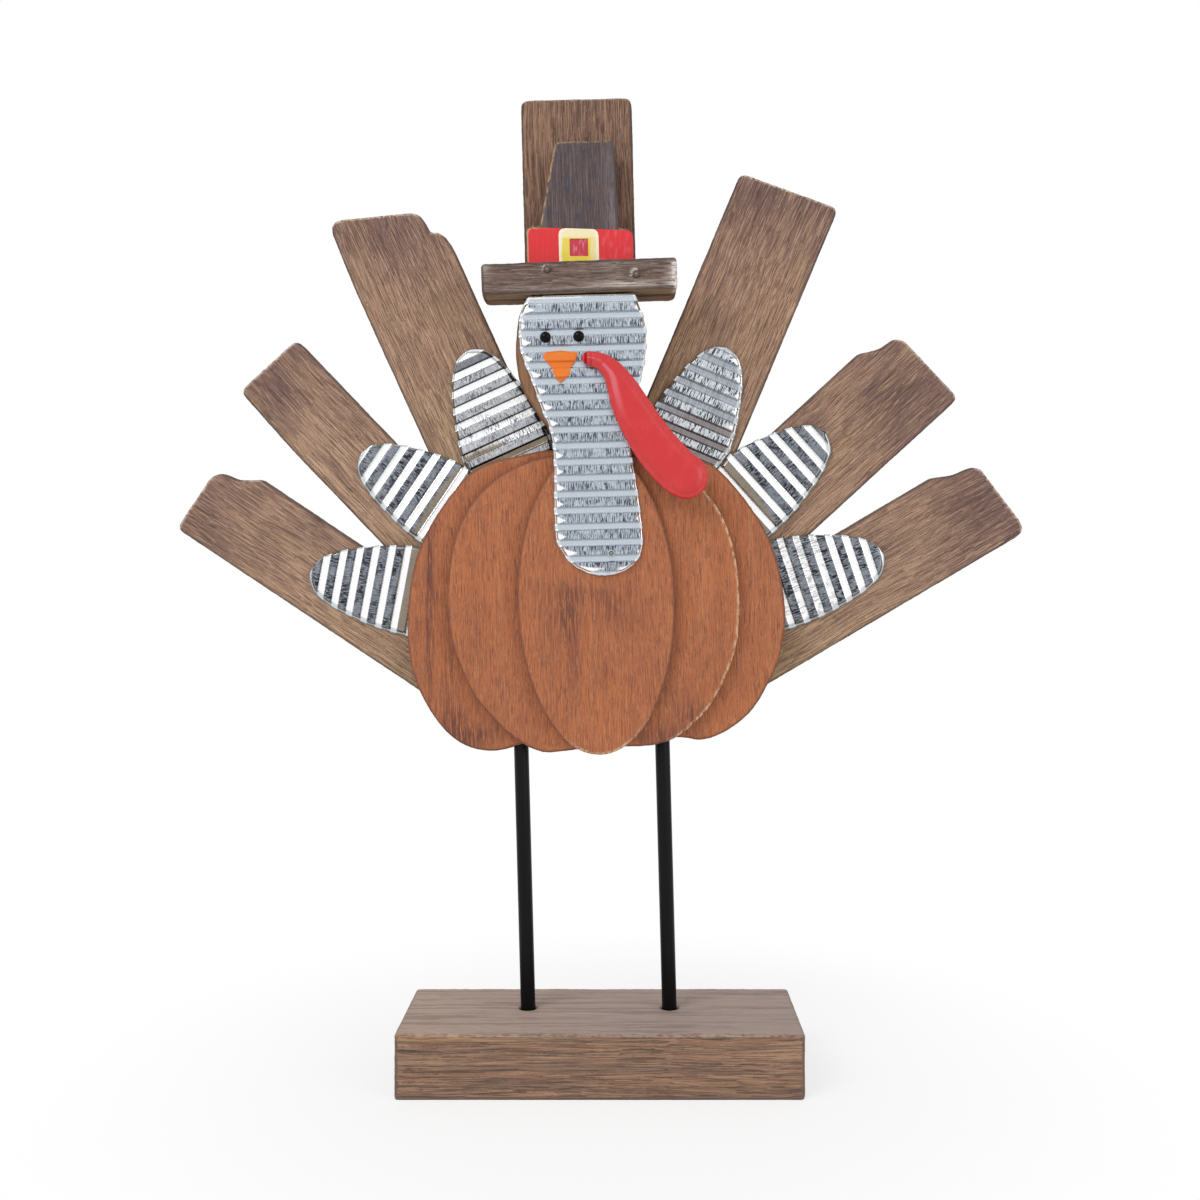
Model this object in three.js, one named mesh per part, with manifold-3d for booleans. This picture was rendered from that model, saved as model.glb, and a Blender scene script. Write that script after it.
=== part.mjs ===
// A turkey shelf figure: painted boards and corrugated galvanised sheet, on two black rods.
// Millimetres, +Z up. The origin is the middle of the base block's underside, and the figure
// faces -Y. Depths inside the figure are counted from the plane of the two rods.

import * as THREE from "three";
import { mergeVertices } from "three/addons/utils/BufferGeometryUtils.js";
import Module from "manifold-3d";

const wasm = await Module();
wasm.setup();

// Base block
const baseWidth = 168;
const baseDepth = 64;
const baseHeight = 27;
const baseEase = 0.8;
const baseRound = 2;

// Legs: quarter inch rod, sunk in the block and in the lower edge of the body
const rodDiameter = 6.35;
const rodSpacing = 61;
const rodSetback = 3.5;
const rodShift = -1;
const rodSunk = 16;
const rodInBody = 38;
const legShow = 113.3;
const leanDegrees = 1.5;

// Board stock and the slack between pieces
const backStock = 10;
const bodyStock = 4.5;
const plankStock = 8;
const edgeEase = 0.5;
const cornerRound = 1.5;
const glueLine = 0.3;
const seatGap = 0.3;
const cutOverrun = 2;

// Pumpkin body: three boards, each hung a little lower than the one behind it
const backWidth = 162.6;
const backHeight = 127.7;
const backShift = 3.5;
const middleWidth = 124.8;
const middleHeight = 127.5;
const middleShift = 2.5;
const middleDrop = 1.3;
const frontWidth = 67.1;
const frontHeight = 130.4;
const frontShift = 3.8;
const frontDrop = 2.7;
const neckSeatDepth = 9;

// Corrugated sheet
const sheetGauge = 0.4;
const sheetDepth = 2.4;
const sheetPitch = 6.82;
const headRidgeShare = 0.5;
const featherRidgeShare = 0.4;
const bendShare = 0.08;

// Metal feathers: six copies of one stamped leaf
const featherLength = 62;
const featherWidth = 40;

// Fan of planks. Its centre lies under the top of the body, and reaches and offsets start there.
const fanShift = 0;
const fanDrop = 101;
const fanReach = 255.6;
const plankWidth = 48.4;
const endRound = 3.5;
const wornDepth = 1.3;
const wornLength = 34;
const notchDepth = 10;
const notchLength = 20;

// Head board and its corrugated sheet, whose first rib stands partly above the sheet's top
const headWidth = 54.2;
const headShift = 1;
const headDrop = 118.7;
const headRibRise = 1.56;
const underBrim = 0.6;

// Hat, lifted over the body's top: one sawn board with crown, band, brim and a tongue behind the
// head, and a thick strip across the brim
const hatLift = 64.5;
const hatShift = -0.25;
const brimWidth = 83.6;
const brimBoardHeight = 13.5;
const brimRound = 3;
const bandWidth = 46.4;
const bandHeight = 17.3;
const bandShift = 0.95;
const bandRound = 3;
const bandSlopeDegrees = 3;
const crownBase = 33.9;
const crownBaseShift = 0.7;
const crownTop = 25.5;
const crownTopShift = 3.8;
const crownHeight = 37;
const crownRound = 2.5;
const tongueWidth = 36;
const tongueLength = 43.5;
const stripInset = 0.6;
const stripShift = 0.5;
const stripHeight = 13.3;
const stripDepth = 13.5;
const stripRise = 0.2;
const stripEase = 0.7;
const stripRound = 1.5;
const stripTiltDegrees = 0.6;

// Enamel on the hat and the beak
const coat = 0.3;
const beakGap = 0.1;
const buckleWidth = 17.1;
const buckleShift = -0.55;
const buckleRound = 3;
const buckleOpening = 7.8;
const buckleSill = 3.7;
const beakWidth = 14.5;
const beakHeight = 13.5;
const beakShift = -9.55;
const beakDrop = 23.5;

// Eyes and snood
const eyeDiameter = 4.7;
const eyeBulge = 2.3;
const eyeSpacing = 14;
const eyeShift = -8.6;
const eyeDrop = 17.9;
const snoodStock = 6;
const snoodEase = 1.6;
const snoodReach = 39.4;
const snoodFall = 50.4;
const snoodWidth = 19.2;
const snoodShift = 2.2;
const snoodDrop = 27.7;

// Nails and brads
const nailShank = 1.6;
const nailHead = 3;
const nailHeadHeight = 0.6;
const nailPoint = 2;
const stripNailLength = 22;
const stripNailSpacing = 37.3;
const stripNailShift = 5.75;
const stripNailRise = 9.8;
const stripNailStep = 3;
const neckNailLength = 9;
const neckNailShift = 9.7;
const neckNailRise = 9.4;
const bradBite = 6;
const bradInset = 11;
const bradSpreadShare = 0.5;

// Outlines, as shares of half the width and of the height of the piece that they follow
const backTopShares = [
  [0, 0.955], [0.2, 1], [0.38, 0.985], [0.53, 0.965], [0.655, 0.925], [0.79, 0.828],
  [0.9, 0.715], [0.966, 0.6], [1, 0.44],
];
const backLeftShares = [
  ...backTopShares, [0.988, 0.29], [0.93, 0.18], [0.845, 0.088], [0.748, 0.028], [0.64, -0.002],
  [0.52, -0.006], [0.41, 0.012], [0.2, 0.03], [0, 0.03],
];
const backRightShares = [
  ...backTopShares, [0.98, 0.327], [0.943, 0.248], [0.892, 0.188], [0.849, 0.142], [0.787, 0.092],
  [0.695, 0.048], [0.603, 0.02], [0.523, 0.011], [0.449, 0.02], [0.2, 0.03], [0, 0.03],
];
const middleTopShares = [
  [0, 1], [0.32, 0.986], [0.56, 0.944], [0.75, 0.875], [0.887, 0.781], [0.97, 0.662], [1, 0.51],
];
const middleLeftShares = [
  ...middleTopShares, [0.976, 0.378], [0.912, 0.277], [0.833, 0.195], [0.753, 0.142],
  [0.643, 0.082], [0.562, 0.047], [0.468, 0.017], [0.388, 0.001], [0.324, -0.003], [0.229, 0],
  [0, 0.012],
];
const middleRightShares = [
  ...middleTopShares, [0.979, 0.362], [0.915, 0.261], [0.836, 0.183], [0.756, 0.126],
  [0.678, 0.088], [0.598, 0.055], [0.518, 0.031], [0.439, 0.018], [0.32, 0.01], [0, 0.012],
];
const frontRoundingShare = 2;
const featherHalfShares = [
  [0, 0], [0.32, 0.04], [0.53, 0.13], [0.66, 0.22], [0.77, 0.33], [0.9, 0.49],
  [0.975, 0.66], [1, 0.82], [0.93, 0.93], [0.6, 0.99], [0, 1],
];
const headSheetShares = [
  [-0.83, 1], [-0.974, 0.933], [-1, 0.855], [-0.963, 0.788], [-0.815, 0.695], [-0.66, 0.584],
  [-0.572, 0.537], [-0.505, 0.43], [-0.52, 0.162], [-0.42, 0.092], [-0.225, 0.035], [0.173, 0],
  [0.579, 0.017], [0.793, 0.061], [0.86, 0.121], [0.83, 0.232], [0.771, 0.345], [0.72, 0.43],
  [0.74, 0.53], [0.79, 0.6], [0.882, 0.685], [0.959, 0.751], [1, 0.843], [0.963, 0.914],
  [0.827, 1],
];
const headBoardShares = [
  [0.7, 0.492], [0.757, 0.584], [0.856, 0.685], [0.934, 0.787], [0.96, 0.846], [0.915, 0.93],
  [0.793, 1], [-0.85, 1], [-0.996, 0.93], [-1.052, 0.834], [-1.055, 0.792], [-1.022, 0.713],
  [-0.937, 0.655], [-0.668, 0.554], [-0.568, 0.529], [-0.487, 0.492],
];
const neckSideShares = [-0.472, 0.7];
const notchShares = [[0, 0], [0.42, 0.42], [0.56, 0.81], [0.82, 0.96], [1, 1]];
const steppedNotchShares = [
  [0, 0], [0.02, 0.17], [0.12, 0.36], [0.31, 0.48], [0.585, 0.55], [0.62, 0.73], [0.735, 0.9], [1, 1],
];
const beakShares = [
  [-0.64, 0.98], [0.06, 1], [0.9, 0.93], [1, 0.92], [0.9, 0.66], [0.63, 0.49], [0.5, 0.21],
  [0.12, 0.06], [-0.06, 0], [-0.34, 0.16], [-0.55, 0.51], [-0.91, 0.7], [-1, 0.9],
];
const snoodSpineShares = [
  [0, 0], [0.147, -0.04], [0.264, -0.131], [0.35, -0.266], [0.442, -0.423], [0.566, -0.6],
  [0.721, -0.782], [0.9, -0.94], [1, -1],
];
const snoodWidthShares = [0.31, 0.385, 0.5, 0.69, 0.83, 0.915, 0.975, 1, 0.99];

// The planks from left to right. reachShare and rootShare are shares of the fan's reach, offsetShare
// and widthShare of the plank width. A notch is a broken corner on the side that it names, and worn
// names the side whose edge is worn away towards the tip.
const planks = [
  { name: "left_lower", tilt: -54.8, endSlope: 0, reachShare: 0.7375, rootShare: 0.1225,
    offsetShare: -0.527, widthShare: 0.8, notch: 1, notchShare: [1.29, 0.965] },
  { name: "left_middle", tilt: -42.25, endSlope: -1.4, reachShare: 0.775, rootShare: 0.1815,
    offsetShare: -0.14, widthShare: 0.727, notch: 0, worn: -1 },
  { name: "left_upper", tilt: -22.9, endSlope: -18.8, reachShare: 0.8775, rootShare: 0.2385,
    offsetShare: 0.0056, widthShare: 0.973, notch: 1, notchShare: [1.06, 1.24],
    shapeShares: steppedNotchShares, roundShare: 2, worn: -1 },
  { name: "centre", tilt: 0, endSlope: 0, reachShare: 1, rootShare: 0.1955,
    offsetShare: 0.005, widthShare: 1.008, notch: 0 },
  { name: "right_upper", tilt: 24.2, endSlope: 2.7, reachShare: 0.9092, rootShare: 0.2515,
    offsetShare: -0.056, widthShare: 0.948, notch: 0 },
  { name: "right_middle", tilt: 49, endSlope: 0.8, reachShare: 0.793, rootShare: 0.227,
    offsetShare: -0.099, widthShare: 0.915, notch: -1, notchShare: [1.03, 0.95] },
  { name: "right_lower", tilt: 60.9, endSlope: 6.4, reachShare: 0.7677, rootShare: 0.152,
    offsetShare: 0.4077, widthShare: 0.858, notch: -1, notchShare: [0.86, 1.04], roundShare: 1.6 },
];

// The metal feathers from left to right. tipShares place the tip from the fan centre, as shares of
// the fan's reach. skew turns the ribs against the leaf, and ribShare is how far down from the tip
// the first rib's middle lies, as a share of the pitch.
const feathers = [
  { name: "left_lower", tilt: -79.3, skew: 1.3, ribShare: 0.449, tipShares: [-0.4765, 0.1968] },
  { name: "left_middle", tilt: -57.9, skew: 3.4, ribShare: 0.623, tipShares: [-0.3848, 0.3991] },
  { name: "left_upper", tilt: -19.2, skew: -3.8, ribShare: 0.746, tipShares: [-0.1933, 0.5745] },
  { name: "right_upper", tilt: 25.7, skew: -1.2, ribShare: 0.557, tipShares: [0.25, 0.5657] },
  { name: "right_middle", tilt: 53.2, skew: -3.7, ribShare: 0.144, tipShares: [0.4147, 0.4147] },
  { name: "right_lower", tilt: 76.5, skew: -3.5, ribShare: 0.535, tipShares: [0.5085, 0.202] },
];

// Depths of the layers, from the plane of the rods
const bodyBack = backStock / 2;
const bodyFront = -bodyBack;
const middleBack = bodyFront - glueLine;
const frontBack = middleBack - bodyStock - glueLine;
const frontFace = frontBack - bodyStock;
const sheetBack = frontFace - glueLine;
const sheetFront = sheetBack - sheetDepth;
const featherBack = bodyBack + glueLine + sheetDepth;
const plankFront = featherBack + glueLine;
const plankBack = plankFront + plankStock;

// Heights of the body and the head, from the top of the base block
const pumpkinTop = legShow + backHeight;
const neckSeat = pumpkinTop - neckSeatDepth;
const hatRise = pumpkinTop + hatLift;
const stripBottom = hatRise + stripRise;
const headTop = stripBottom - underBrim;

const degree = Math.PI / 180;
const curveSteps = 3;
const roundSteps = 64;
const rodSides = 20;
const nailSides = 8;
const domeSteps = 8;

const stain = { roughness: 0.72, metalness: 0 };
const woods = {
  plank: new THREE.MeshStandardMaterial({ color: "#8a6a4e", ...stain }),
  base: new THREE.MeshStandardMaterial({ color: "#8b6f5c", ...stain }),
  pumpkin: new THREE.MeshStandardMaterial({ color: "#a9653f", ...stain }),
  headBoard: new THREE.MeshStandardMaterial({ color: "#8f6a48", ...stain }),
  hat: new THREE.MeshStandardMaterial({ color: "#5d565b", ...stain }),
  brim: new THREE.MeshStandardMaterial({ color: "#6f6058", ...stain }),
};
const gloss = { roughness: 0.35, metalness: 0 };
const enamels = {
  red: new THREE.MeshStandardMaterial({ color: "#df3338", ...gloss }),
  yellow: new THREE.MeshStandardMaterial({ color: "#ead84a", ...gloss }),
  orange: new THREE.MeshStandardMaterial({ color: "#f28020", ...gloss }),
  snood: new THREE.MeshStandardMaterial({ color: "#d9403f", ...gloss }),
  black: new THREE.MeshStandardMaterial({ color: "#141416", roughness: 0.15, metalness: 0 }),
};
const metals = {
  galvanised: new THREE.MeshStandardMaterial({ color: "#aab2bd", roughness: 0.38, metalness: 1 }),
  rod: new THREE.MeshStandardMaterial({ color: "#1c1c1e", roughness: 0.45, metalness: 0.6 }),
  nail: new THREE.MeshStandardMaterial({ color: "#8f9094", roughness: 0.4, metalness: 1 }),
};

// Solids

function toSolid(geometry) {
  const plain = geometry.clone();
  plain.deleteAttribute("normal");
  plain.deleteAttribute("uv");
  const merged = mergeVertices(plain);
  const vertProperties = Float32Array.from(merged.attributes.position.array);
  const triVerts = Uint32Array.from(merged.index.array);
  return new wasm.Manifold(new wasm.Mesh({ numProp: 3, vertProperties, triVerts }));
}

function toGeometry(solid) {
  const { vertProperties, triVerts } = solid.getMesh();
  const geometry = new THREE.BufferGeometry();
  geometry.setAttribute("position", new THREE.BufferAttribute(vertProperties, 3));
  geometry.setIndex(new THREE.BufferAttribute(triVerts, 1));
  geometry.computeVertexNormals();
  return geometry;
}

function subtract(geometry, cutters) {
  const whole = toSolid(geometry);
  return toGeometry(cutters.reduce((solid, cutter) => solid.subtract(toSolid(cutter)), whole));
}

function intersect(geometry, other) {
  return toGeometry(toSolid(geometry).intersect(toSolid(other)));
}

const figure = new THREE.Group();
figure.position.set(rodShift, rodSetback, baseHeight);
figure.rotation.y = -leanDegrees * degree;

const turkey = new THREE.Group();
turkey.add(figure);

function piece(parent, name, geometry, material) {
  const mesh = new THREE.Mesh(geometry, material);
  mesh.name = name;
  parent.add(mesh);
  return mesh;
}

// Cuts shapes that are given in the figure's frame out of a placed piece of the figure.
function cut(mesh, cutters) {
  mesh.updateMatrix();
  const toPiece = mesh.matrix.clone().invert();
  const moved = cutters.map((cutter) => cutter.clone().applyMatrix4(toPiece));
  mesh.geometry = subtract(mesh.geometry, moved);
}

// Outlines

function scaled(shares, width, height) {
  return shares.map(([across, along]) => new THREE.Vector2(across * width, along * height));
}

// A closed outline from the middle of its top down each side to the middle of its foot, through
// shares of half the width and of the height.
function twoSided(leftShares, rightShares, width, height) {
  const side = (shares, reach) => {
    const curve = new THREE.SplineCurve(scaled(shares, reach, height));
    return curve.getPoints(shares.length * curveSteps);
  };
  const leftPoints = side(leftShares, -width / 2).slice(1, -1).reverse();
  return counterClockwise([...side(rightShares, width / 2), ...leftPoints]);
}

// A superellipse that stands on the axis: rounding 2 is an ellipse, more is squarer.
function oval(width, height, rounding) {
  const bend = (value) => Math.sign(value) * Math.abs(value) ** (2 / rounding);
  const points = [];
  for (let step = 0; step < roundSteps; step += 1) {
    const angle = (step / roundSteps) * 2 * Math.PI;
    const across = (width / 2) * bend(Math.cos(angle));
    points.push(new THREE.Vector2(across, (height / 2) * (1 + bend(Math.sin(angle)))));
  }
  return points;
}

// A closed polygon with each corner rounded by the radius given beside it.
function rounded(corners) {
  const points = [];
  corners.forEach(([corner, radius], index) => {
    if (!radius) {
      points.push(corner);
      return;
    }
    const before = corners[(index + corners.length - 1) % corners.length][0];
    const after = corners[(index + 1) % corners.length][0];
    const from = corner.clone().add(before.clone().sub(corner).setLength(radius));
    const to = corner.clone().add(after.clone().sub(corner).setLength(radius));
    points.push(...new THREE.QuadraticBezierCurve(from, corner, to).getPoints(curveSteps));
  });
  return points;
}

// A rectangle about its middle, with rounded corners.
function rectangle(width, height, radius) {
  const corners = [[-1, -1], [1, -1], [1, 1], [-1, 1]].map(([x, z]) => (
    new THREE.Vector2((x * width) / 2, (z * height) / 2)));
  return rounded(corners.map((corner) => [corner, radius]));
}

function counterClockwise(points) {
  return THREE.ShapeUtils.isClockWise(points) ? points.slice().reverse() : points;
}

// Keeps the side of a line where across . point is less than the limit.
function clip(points, across, limit) {
  const kept = [];
  points.forEach((point, index) => {
    const next = points[(index + 1) % points.length];
    const here = across.dot(point) - limit;
    const there = across.dot(next) - limit;
    if (here <= 0) {
      kept.push(point);
    }
    if (here * there < 0) {
      kept.push(point.clone().lerp(next, here / (here - there)));
    }
  });
  return kept;
}

// A board cut to an outline in X and Z, from its front depth to its back depth.
function board(points, front, back, ease = 0) {
  const geometry = new THREE.ExtrudeGeometry(new THREE.Shape(points), {
    depth: back - front - 2 * ease,
    bevelEnabled: ease > 0,
    bevelSize: ease,
    bevelThickness: ease,
    bevelOffset: -ease,
    bevelSegments: 1,
    curveSegments: 1,
  });
  geometry.rotateX(Math.PI / 2);
  geometry.translate(0, back - ease, 0);
  return geometry;
}

// The line between two neighbours of the fan, from their tilts and the distance of their edges or
// axes from the fan centre: where it passes and which way is across it, to the right.
function seam(leftTilt, leftOffset, rightTilt, rightOffset) {
  const left = acrossOf(leftTilt);
  const right = acrossOf(rightTilt);
  const turn = left.cross(right);
  const point = new THREE.Vector2(
    (leftOffset * right.y - rightOffset * left.y) / turn,
    (left.x * rightOffset - right.x * leftOffset) / turn,
  );
  return { point, across: left.clone().add(right).normalize() };
}

function acrossOf(tilt) {
  return new THREE.Vector2(Math.cos(tilt * degree), -Math.sin(tilt * degree));
}

// Trims an outline, drawn upright at its own origin and tilt, to one side of a seam.
function trim(points, origin, tilt, { point, across }, side) {
  const turned = across.clone().rotateAround(new THREE.Vector2(), tilt * degree).multiplyScalar(side);
  const limit = side * across.dot(point.clone().sub(origin)) - seatGap / 2;
  return clip(points, turned, limit);
}

// Corrugated sheet: flat ridges and flat valleys joined by steep bends, in a band along Z. The two
// levels are the heights of its faces over the flat of a valley's back, so paint on it can follow it.
function corrugated({ from, to, phase, ridgeShare, across, back = 0, front = sheetGauge }) {
  const rise = sheetDepth - sheetGauge;
  const run = sheetPitch * bendShare;
  const ridge = sheetPitch * ridgeShare;
  const spread = Math.tan(Math.atan2(rise, run) / 2);
  const firstWave = Math.floor((from - phase) / sheetPitch);
  const lastWave = Math.ceil((to - phase) / sheetPitch);
  const face = (level) => {
    const points = [];
    for (let wave = firstWave; wave <= lastWave; wave += 1) {
      const middle = phase + wave * sheetPitch;
      const reach = ridge / 2 + (level - sheetGauge) * spread;
      points.push(new THREE.Vector2(middle - reach - run, level));
      points.push(new THREE.Vector2(middle - reach, level + rise));
      points.push(new THREE.Vector2(middle + reach, level + rise));
      points.push(new THREE.Vector2(middle + reach + run, level));
    }
    return points;
  };
  const section = new THREE.Shape(counterClockwise([...face(front), ...face(back).reverse()]));
  const sheet = new THREE.ExtrudeGeometry(section, { depth: across, bevelEnabled: false });
  sheet.translate(0, 0, -across / 2);
  const along = new THREE.Vector3(0, 0, 1);
  const forward = new THREE.Vector3(0, -1, 0);
  const sideways = new THREE.Vector3(1, 0, 0);
  sheet.applyMatrix4(new THREE.Matrix4().makeBasis(along, forward, sideways));
  return sheet;
}

// A nail along Y with its head towards -Y and the underside of the head at zero.
function nail(length) {
  const profile = [
    [0, -nailHeadHeight], [nailHead / 2, -nailHeadHeight], [nailHead / 2, 0], [nailShank / 2, 0],
    [nailShank / 2, length - nailPoint], [0, length],
  ];
  return new THREE.LatheGeometry(profile.map(([r, y]) => new THREE.Vector2(r, y)), nailSides);
}

// The hole for a nail shank that enters at one depth and ends at another.
function nailHole(x, z, front, back) {
  const radius = nailShank / 2 + seatGap;
  const hole = new THREE.CylinderGeometry(radius, radius, back - front, nailSides);
  hole.translate(x, (front + back) / 2, z);
  return hole;
}

// Base block and legs

const legs = [["left", -rodSpacing / 2], ["right", rodSpacing / 2]];
const rodTop = legShow + rodInBody;

function rodBar(x, radius, bottom, top) {
  const bar = new THREE.CylinderGeometry(radius, radius, top - bottom, rodSides);
  bar.rotateX(Math.PI / 2);
  bar.translate(x, 0, (bottom + top) / 2);
  return bar;
}

legs.forEach(([side, x]) => {
  piece(figure, `leg_rod_${side}`, rodBar(x, rodDiameter / 2, -rodSunk, rodTop), metals.rod);
});

const rodHoles = legs.map(([, x]) => (
  rodBar(x, rodDiameter / 2 + seatGap, -rodSunk - seatGap, rodTop + seatGap)));

function baseBlock() {
  const block = new THREE.ExtrudeGeometry(new THREE.Shape(rectangle(baseWidth, baseDepth, baseRound)), {
    depth: baseHeight - 2 * baseEase,
    bevelSize: baseEase,
    bevelThickness: baseEase,
    bevelOffset: -baseEase,
    bevelSegments: 1,
  });
  block.translate(0, 0, baseEase);
  figure.updateMatrix();
  return subtract(block, rodHoles.map((hole) => hole.clone().applyMatrix4(figure.matrix)));
}

piece(turkey, "base_block", baseBlock(), woods.base);

// Pumpkin body

function pumpkinBoard(name, outline, shift, drop, front, back) {
  const mesh = piece(figure, name, board(outline, front, back, edgeEase), woods.pumpkin);
  mesh.position.set(shift, 0, legShow - drop);
  return mesh;
}

const backOutline = twoSided(backLeftShares, backRightShares, backWidth, backHeight);
const middleOutline = twoSided(middleLeftShares, middleRightShares, middleWidth, middleHeight);
const frontOutline = oval(frontWidth, frontHeight, frontRoundingShare);
const backBoard = pumpkinBoard("pumpkin_back_board", backOutline, backShift, 0, bodyFront, bodyBack);
const middleBoard = pumpkinBoard("pumpkin_middle_board", middleOutline, middleShift, middleDrop,
  middleBack - bodyStock, middleBack);
const frontBoard = pumpkinBoard("pumpkin_front_board", frontOutline, frontShift, frontDrop,
  frontFace, frontBack);

// Fan of planks

const fanCentre = new THREE.Vector2(fanShift, pumpkinTop - fanDrop);

function plankEdges({ offsetShare, widthShare }) {
  const middle = offsetShare * plankWidth;
  const half = (widthShare * plankWidth) / 2;
  return [middle - half, middle + half];
}

function plankSeam(left, right) {
  return seam(left.tilt, plankEdges(left)[1], right.tilt, plankEdges(right)[0]);
}

function notchCorner(sideEdge, side, endAt, { notchShare, shapeShares = notchShares }) {
  const depth = notchDepth * notchShare[0];
  const length = notchLength * notchShare[1];
  const foot = endAt(sideEdge - side * depth) - length;
  const points = shapeShares.map(([inward, along]) => (
    new THREE.Vector2(sideEdge - side * inward * depth, foot + along * length)));
  return new THREE.SplineCurve(points).getPoints(shapeShares.length * curveSteps);
}

// A rounded corner. A worn edge first leans in towards it.
function roundCorner(sideEdge, side, endAt, { roundShare = 1, worn = 0 }) {
  const radius = endRound * roundShare;
  const across = worn === side ? sideEdge - side * wornDepth : sideEdge;
  const corner = new THREE.Vector2(across, endAt(across));
  const start = new THREE.Vector2(sideEdge, corner.y - wornLength);
  const foot = start.clone().sub(corner).setLength(radius).add(corner);
  const head = new THREE.Vector2(across - side * radius, endAt(across - side * radius));
  const bend = new THREE.QuadraticBezierCurve(foot, corner, head).getPoints(curveSteps);
  return worn === side ? [start, ...bend] : bend;
}

function plankOutline(plank) {
  const [left, right] = plankEdges(plank);
  const root = plank.rootShare * fanReach;
  const middle = (left + right) / 2;
  const slope = Math.tan(plank.endSlope * degree);
  const endAt = (across) => plank.reachShare * fanReach + (across - middle) * slope;
  const corner = (edge, side) => (plank.notch === side
    ? notchCorner(edge, side, endAt, plank)
    : roundCorner(edge, side, endAt, plank));
  return [
    new THREE.Vector2(left, root), new THREE.Vector2(right, root),
    ...corner(right, 1), ...corner(left, -1).reverse(),
  ];
}

const plankOutlines = planks.map((plank, index) => {
  const origin = new THREE.Vector2();
  let outline = plankOutline(plank);
  if (index > 0) {
    outline = trim(outline, origin, plank.tilt, plankSeam(planks[index - 1], plank), -1);
  }
  if (index < planks.length - 1) {
    outline = trim(outline, origin, plank.tilt, plankSeam(plank, planks[index + 1]), 1);
  }
  return outline;
});

const plankMeshes = planks.map(({ name, tilt }, index) => {
  const geometry = board(plankOutlines[index], plankFront, plankBack, edgeEase);
  const mesh = piece(figure, `tail_plank_${name}`, geometry, woods.plank);
  mesh.position.set(fanCentre.x, 0, fanCentre.y);
  mesh.rotation.y = tilt * degree;
  return mesh;
});

// Metal feathers

const featherTips = feathers.map(({ tipShares: [x, z] }) => new THREE.Vector2(x * fanReach, z * fanReach));
const featherOffsets = feathers.map(({ tilt }, index) => acrossOf(tilt).dot(featherTips[index]));

function featherSeam(left) {
  const right = left + 1;
  return seam(feathers[left].tilt, featherOffsets[left], feathers[right].tilt, featherOffsets[right]);
}

const featherMeshes = feathers.map(({ name, tilt, skew, ribShare }, index) => {
  const tip = featherTips[index];
  let outline = twoSided(featherHalfShares, featherHalfShares, featherWidth, -featherLength);
  if (index > 0) {
    outline = trim(outline, tip, tilt, featherSeam(index - 1), -1);
  }
  if (index < feathers.length - 1) {
    outline = trim(outline, tip, tilt, featherSeam(index), 1);
  }
  const sheet = corrugated({
    from: -featherLength - featherWidth / 2,
    to: featherWidth / 2,
    phase: -ribShare * sheetPitch,
    ridgeShare: featherRidgeShare,
    across: 2 * featherLength,
  });
  sheet.rotateY(skew * degree);
  const leaf = intersect(sheet, board(outline, -sheetDepth - cutOverrun, cutOverrun));
  const mesh = piece(figure, `metal_feather_${name}`, leaf, metals.galvanised);
  mesh.position.set(fanCentre.x + tip.x, featherBack, fanCentre.y + tip.y);
  mesh.rotation.y = tilt * degree;
  return mesh;
});

// Head board and head sheet

const headFoot = headTop - headDrop;
const [neckLeft, neckRight] = neckSideShares.map((share) => headShift + (share * headWidth) / 2);

function headOutline(shares) {
  const loop = scaled(shares, headWidth / 2, headDrop);
  return loop.map((point) => new THREE.Vector2(headShift + point.x, headFoot + point.y));
}

function headBoardOutline(neckFoot) {
  const neck = [new THREE.Vector2(neckLeft, neckFoot), new THREE.Vector2(neckRight, neckFoot)];
  return [...neck, ...headOutline(headBoardShares)];
}

// The neck stands in a notch of the two front boards and laps over the back board.
function neckNotch() {
  const middle = (neckLeft + neckRight) / 2;
  const wider = headBoardOutline(neckSeat).map((point) => (
    new THREE.Vector2(point.x + Math.sign(point.x - middle) * seatGap, point.y)));
  return board(wider, frontFace - cutOverrun, middleBack + cutOverrun);
}

function headSheetGeometry(outline, options = {}) {
  const sheet = corrugated({
    from: headFoot - sheetPitch,
    to: headTop + sheetPitch,
    phase: headTop + headRibRise,
    ridgeShare: headRidgeShare,
    across: 2 * headWidth,
    ...options,
  });
  const blank = board(outline, -2 * sheetDepth, sheetDepth);
  const cutSheet = intersect(sheet, blank);
  cutSheet.translate(0, sheetBack, 0);
  return cutSheet;
}

// The sheet's outline runs down the left side, round the foot and up the right side.
function smooth(points) {
  return new THREE.SplineCurve(points).getPoints(points.length * 2);
}

const headGeometry = board(headBoardOutline(neckSeat + seatGap), frontFace, middleBack, edgeEase);
piece(figure, "head_board", headGeometry, woods.headBoard);
const headSheetOutline = smooth(headOutline(headSheetShares));
const headSheet = piece(figure, "head_sheet", headSheetGeometry(headSheetOutline), metals.galvanised);

[middleBoard, frontBoard].forEach((mesh) => cut(mesh, [neckNotch()]));

// Hat

const hatFront = bodyFront;
const bandTop = hatRise + brimBoardHeight + bandHeight;
const bandDrop = (across) => (across - bandShift) * Math.tan(bandSlopeDegrees * degree);

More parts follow.
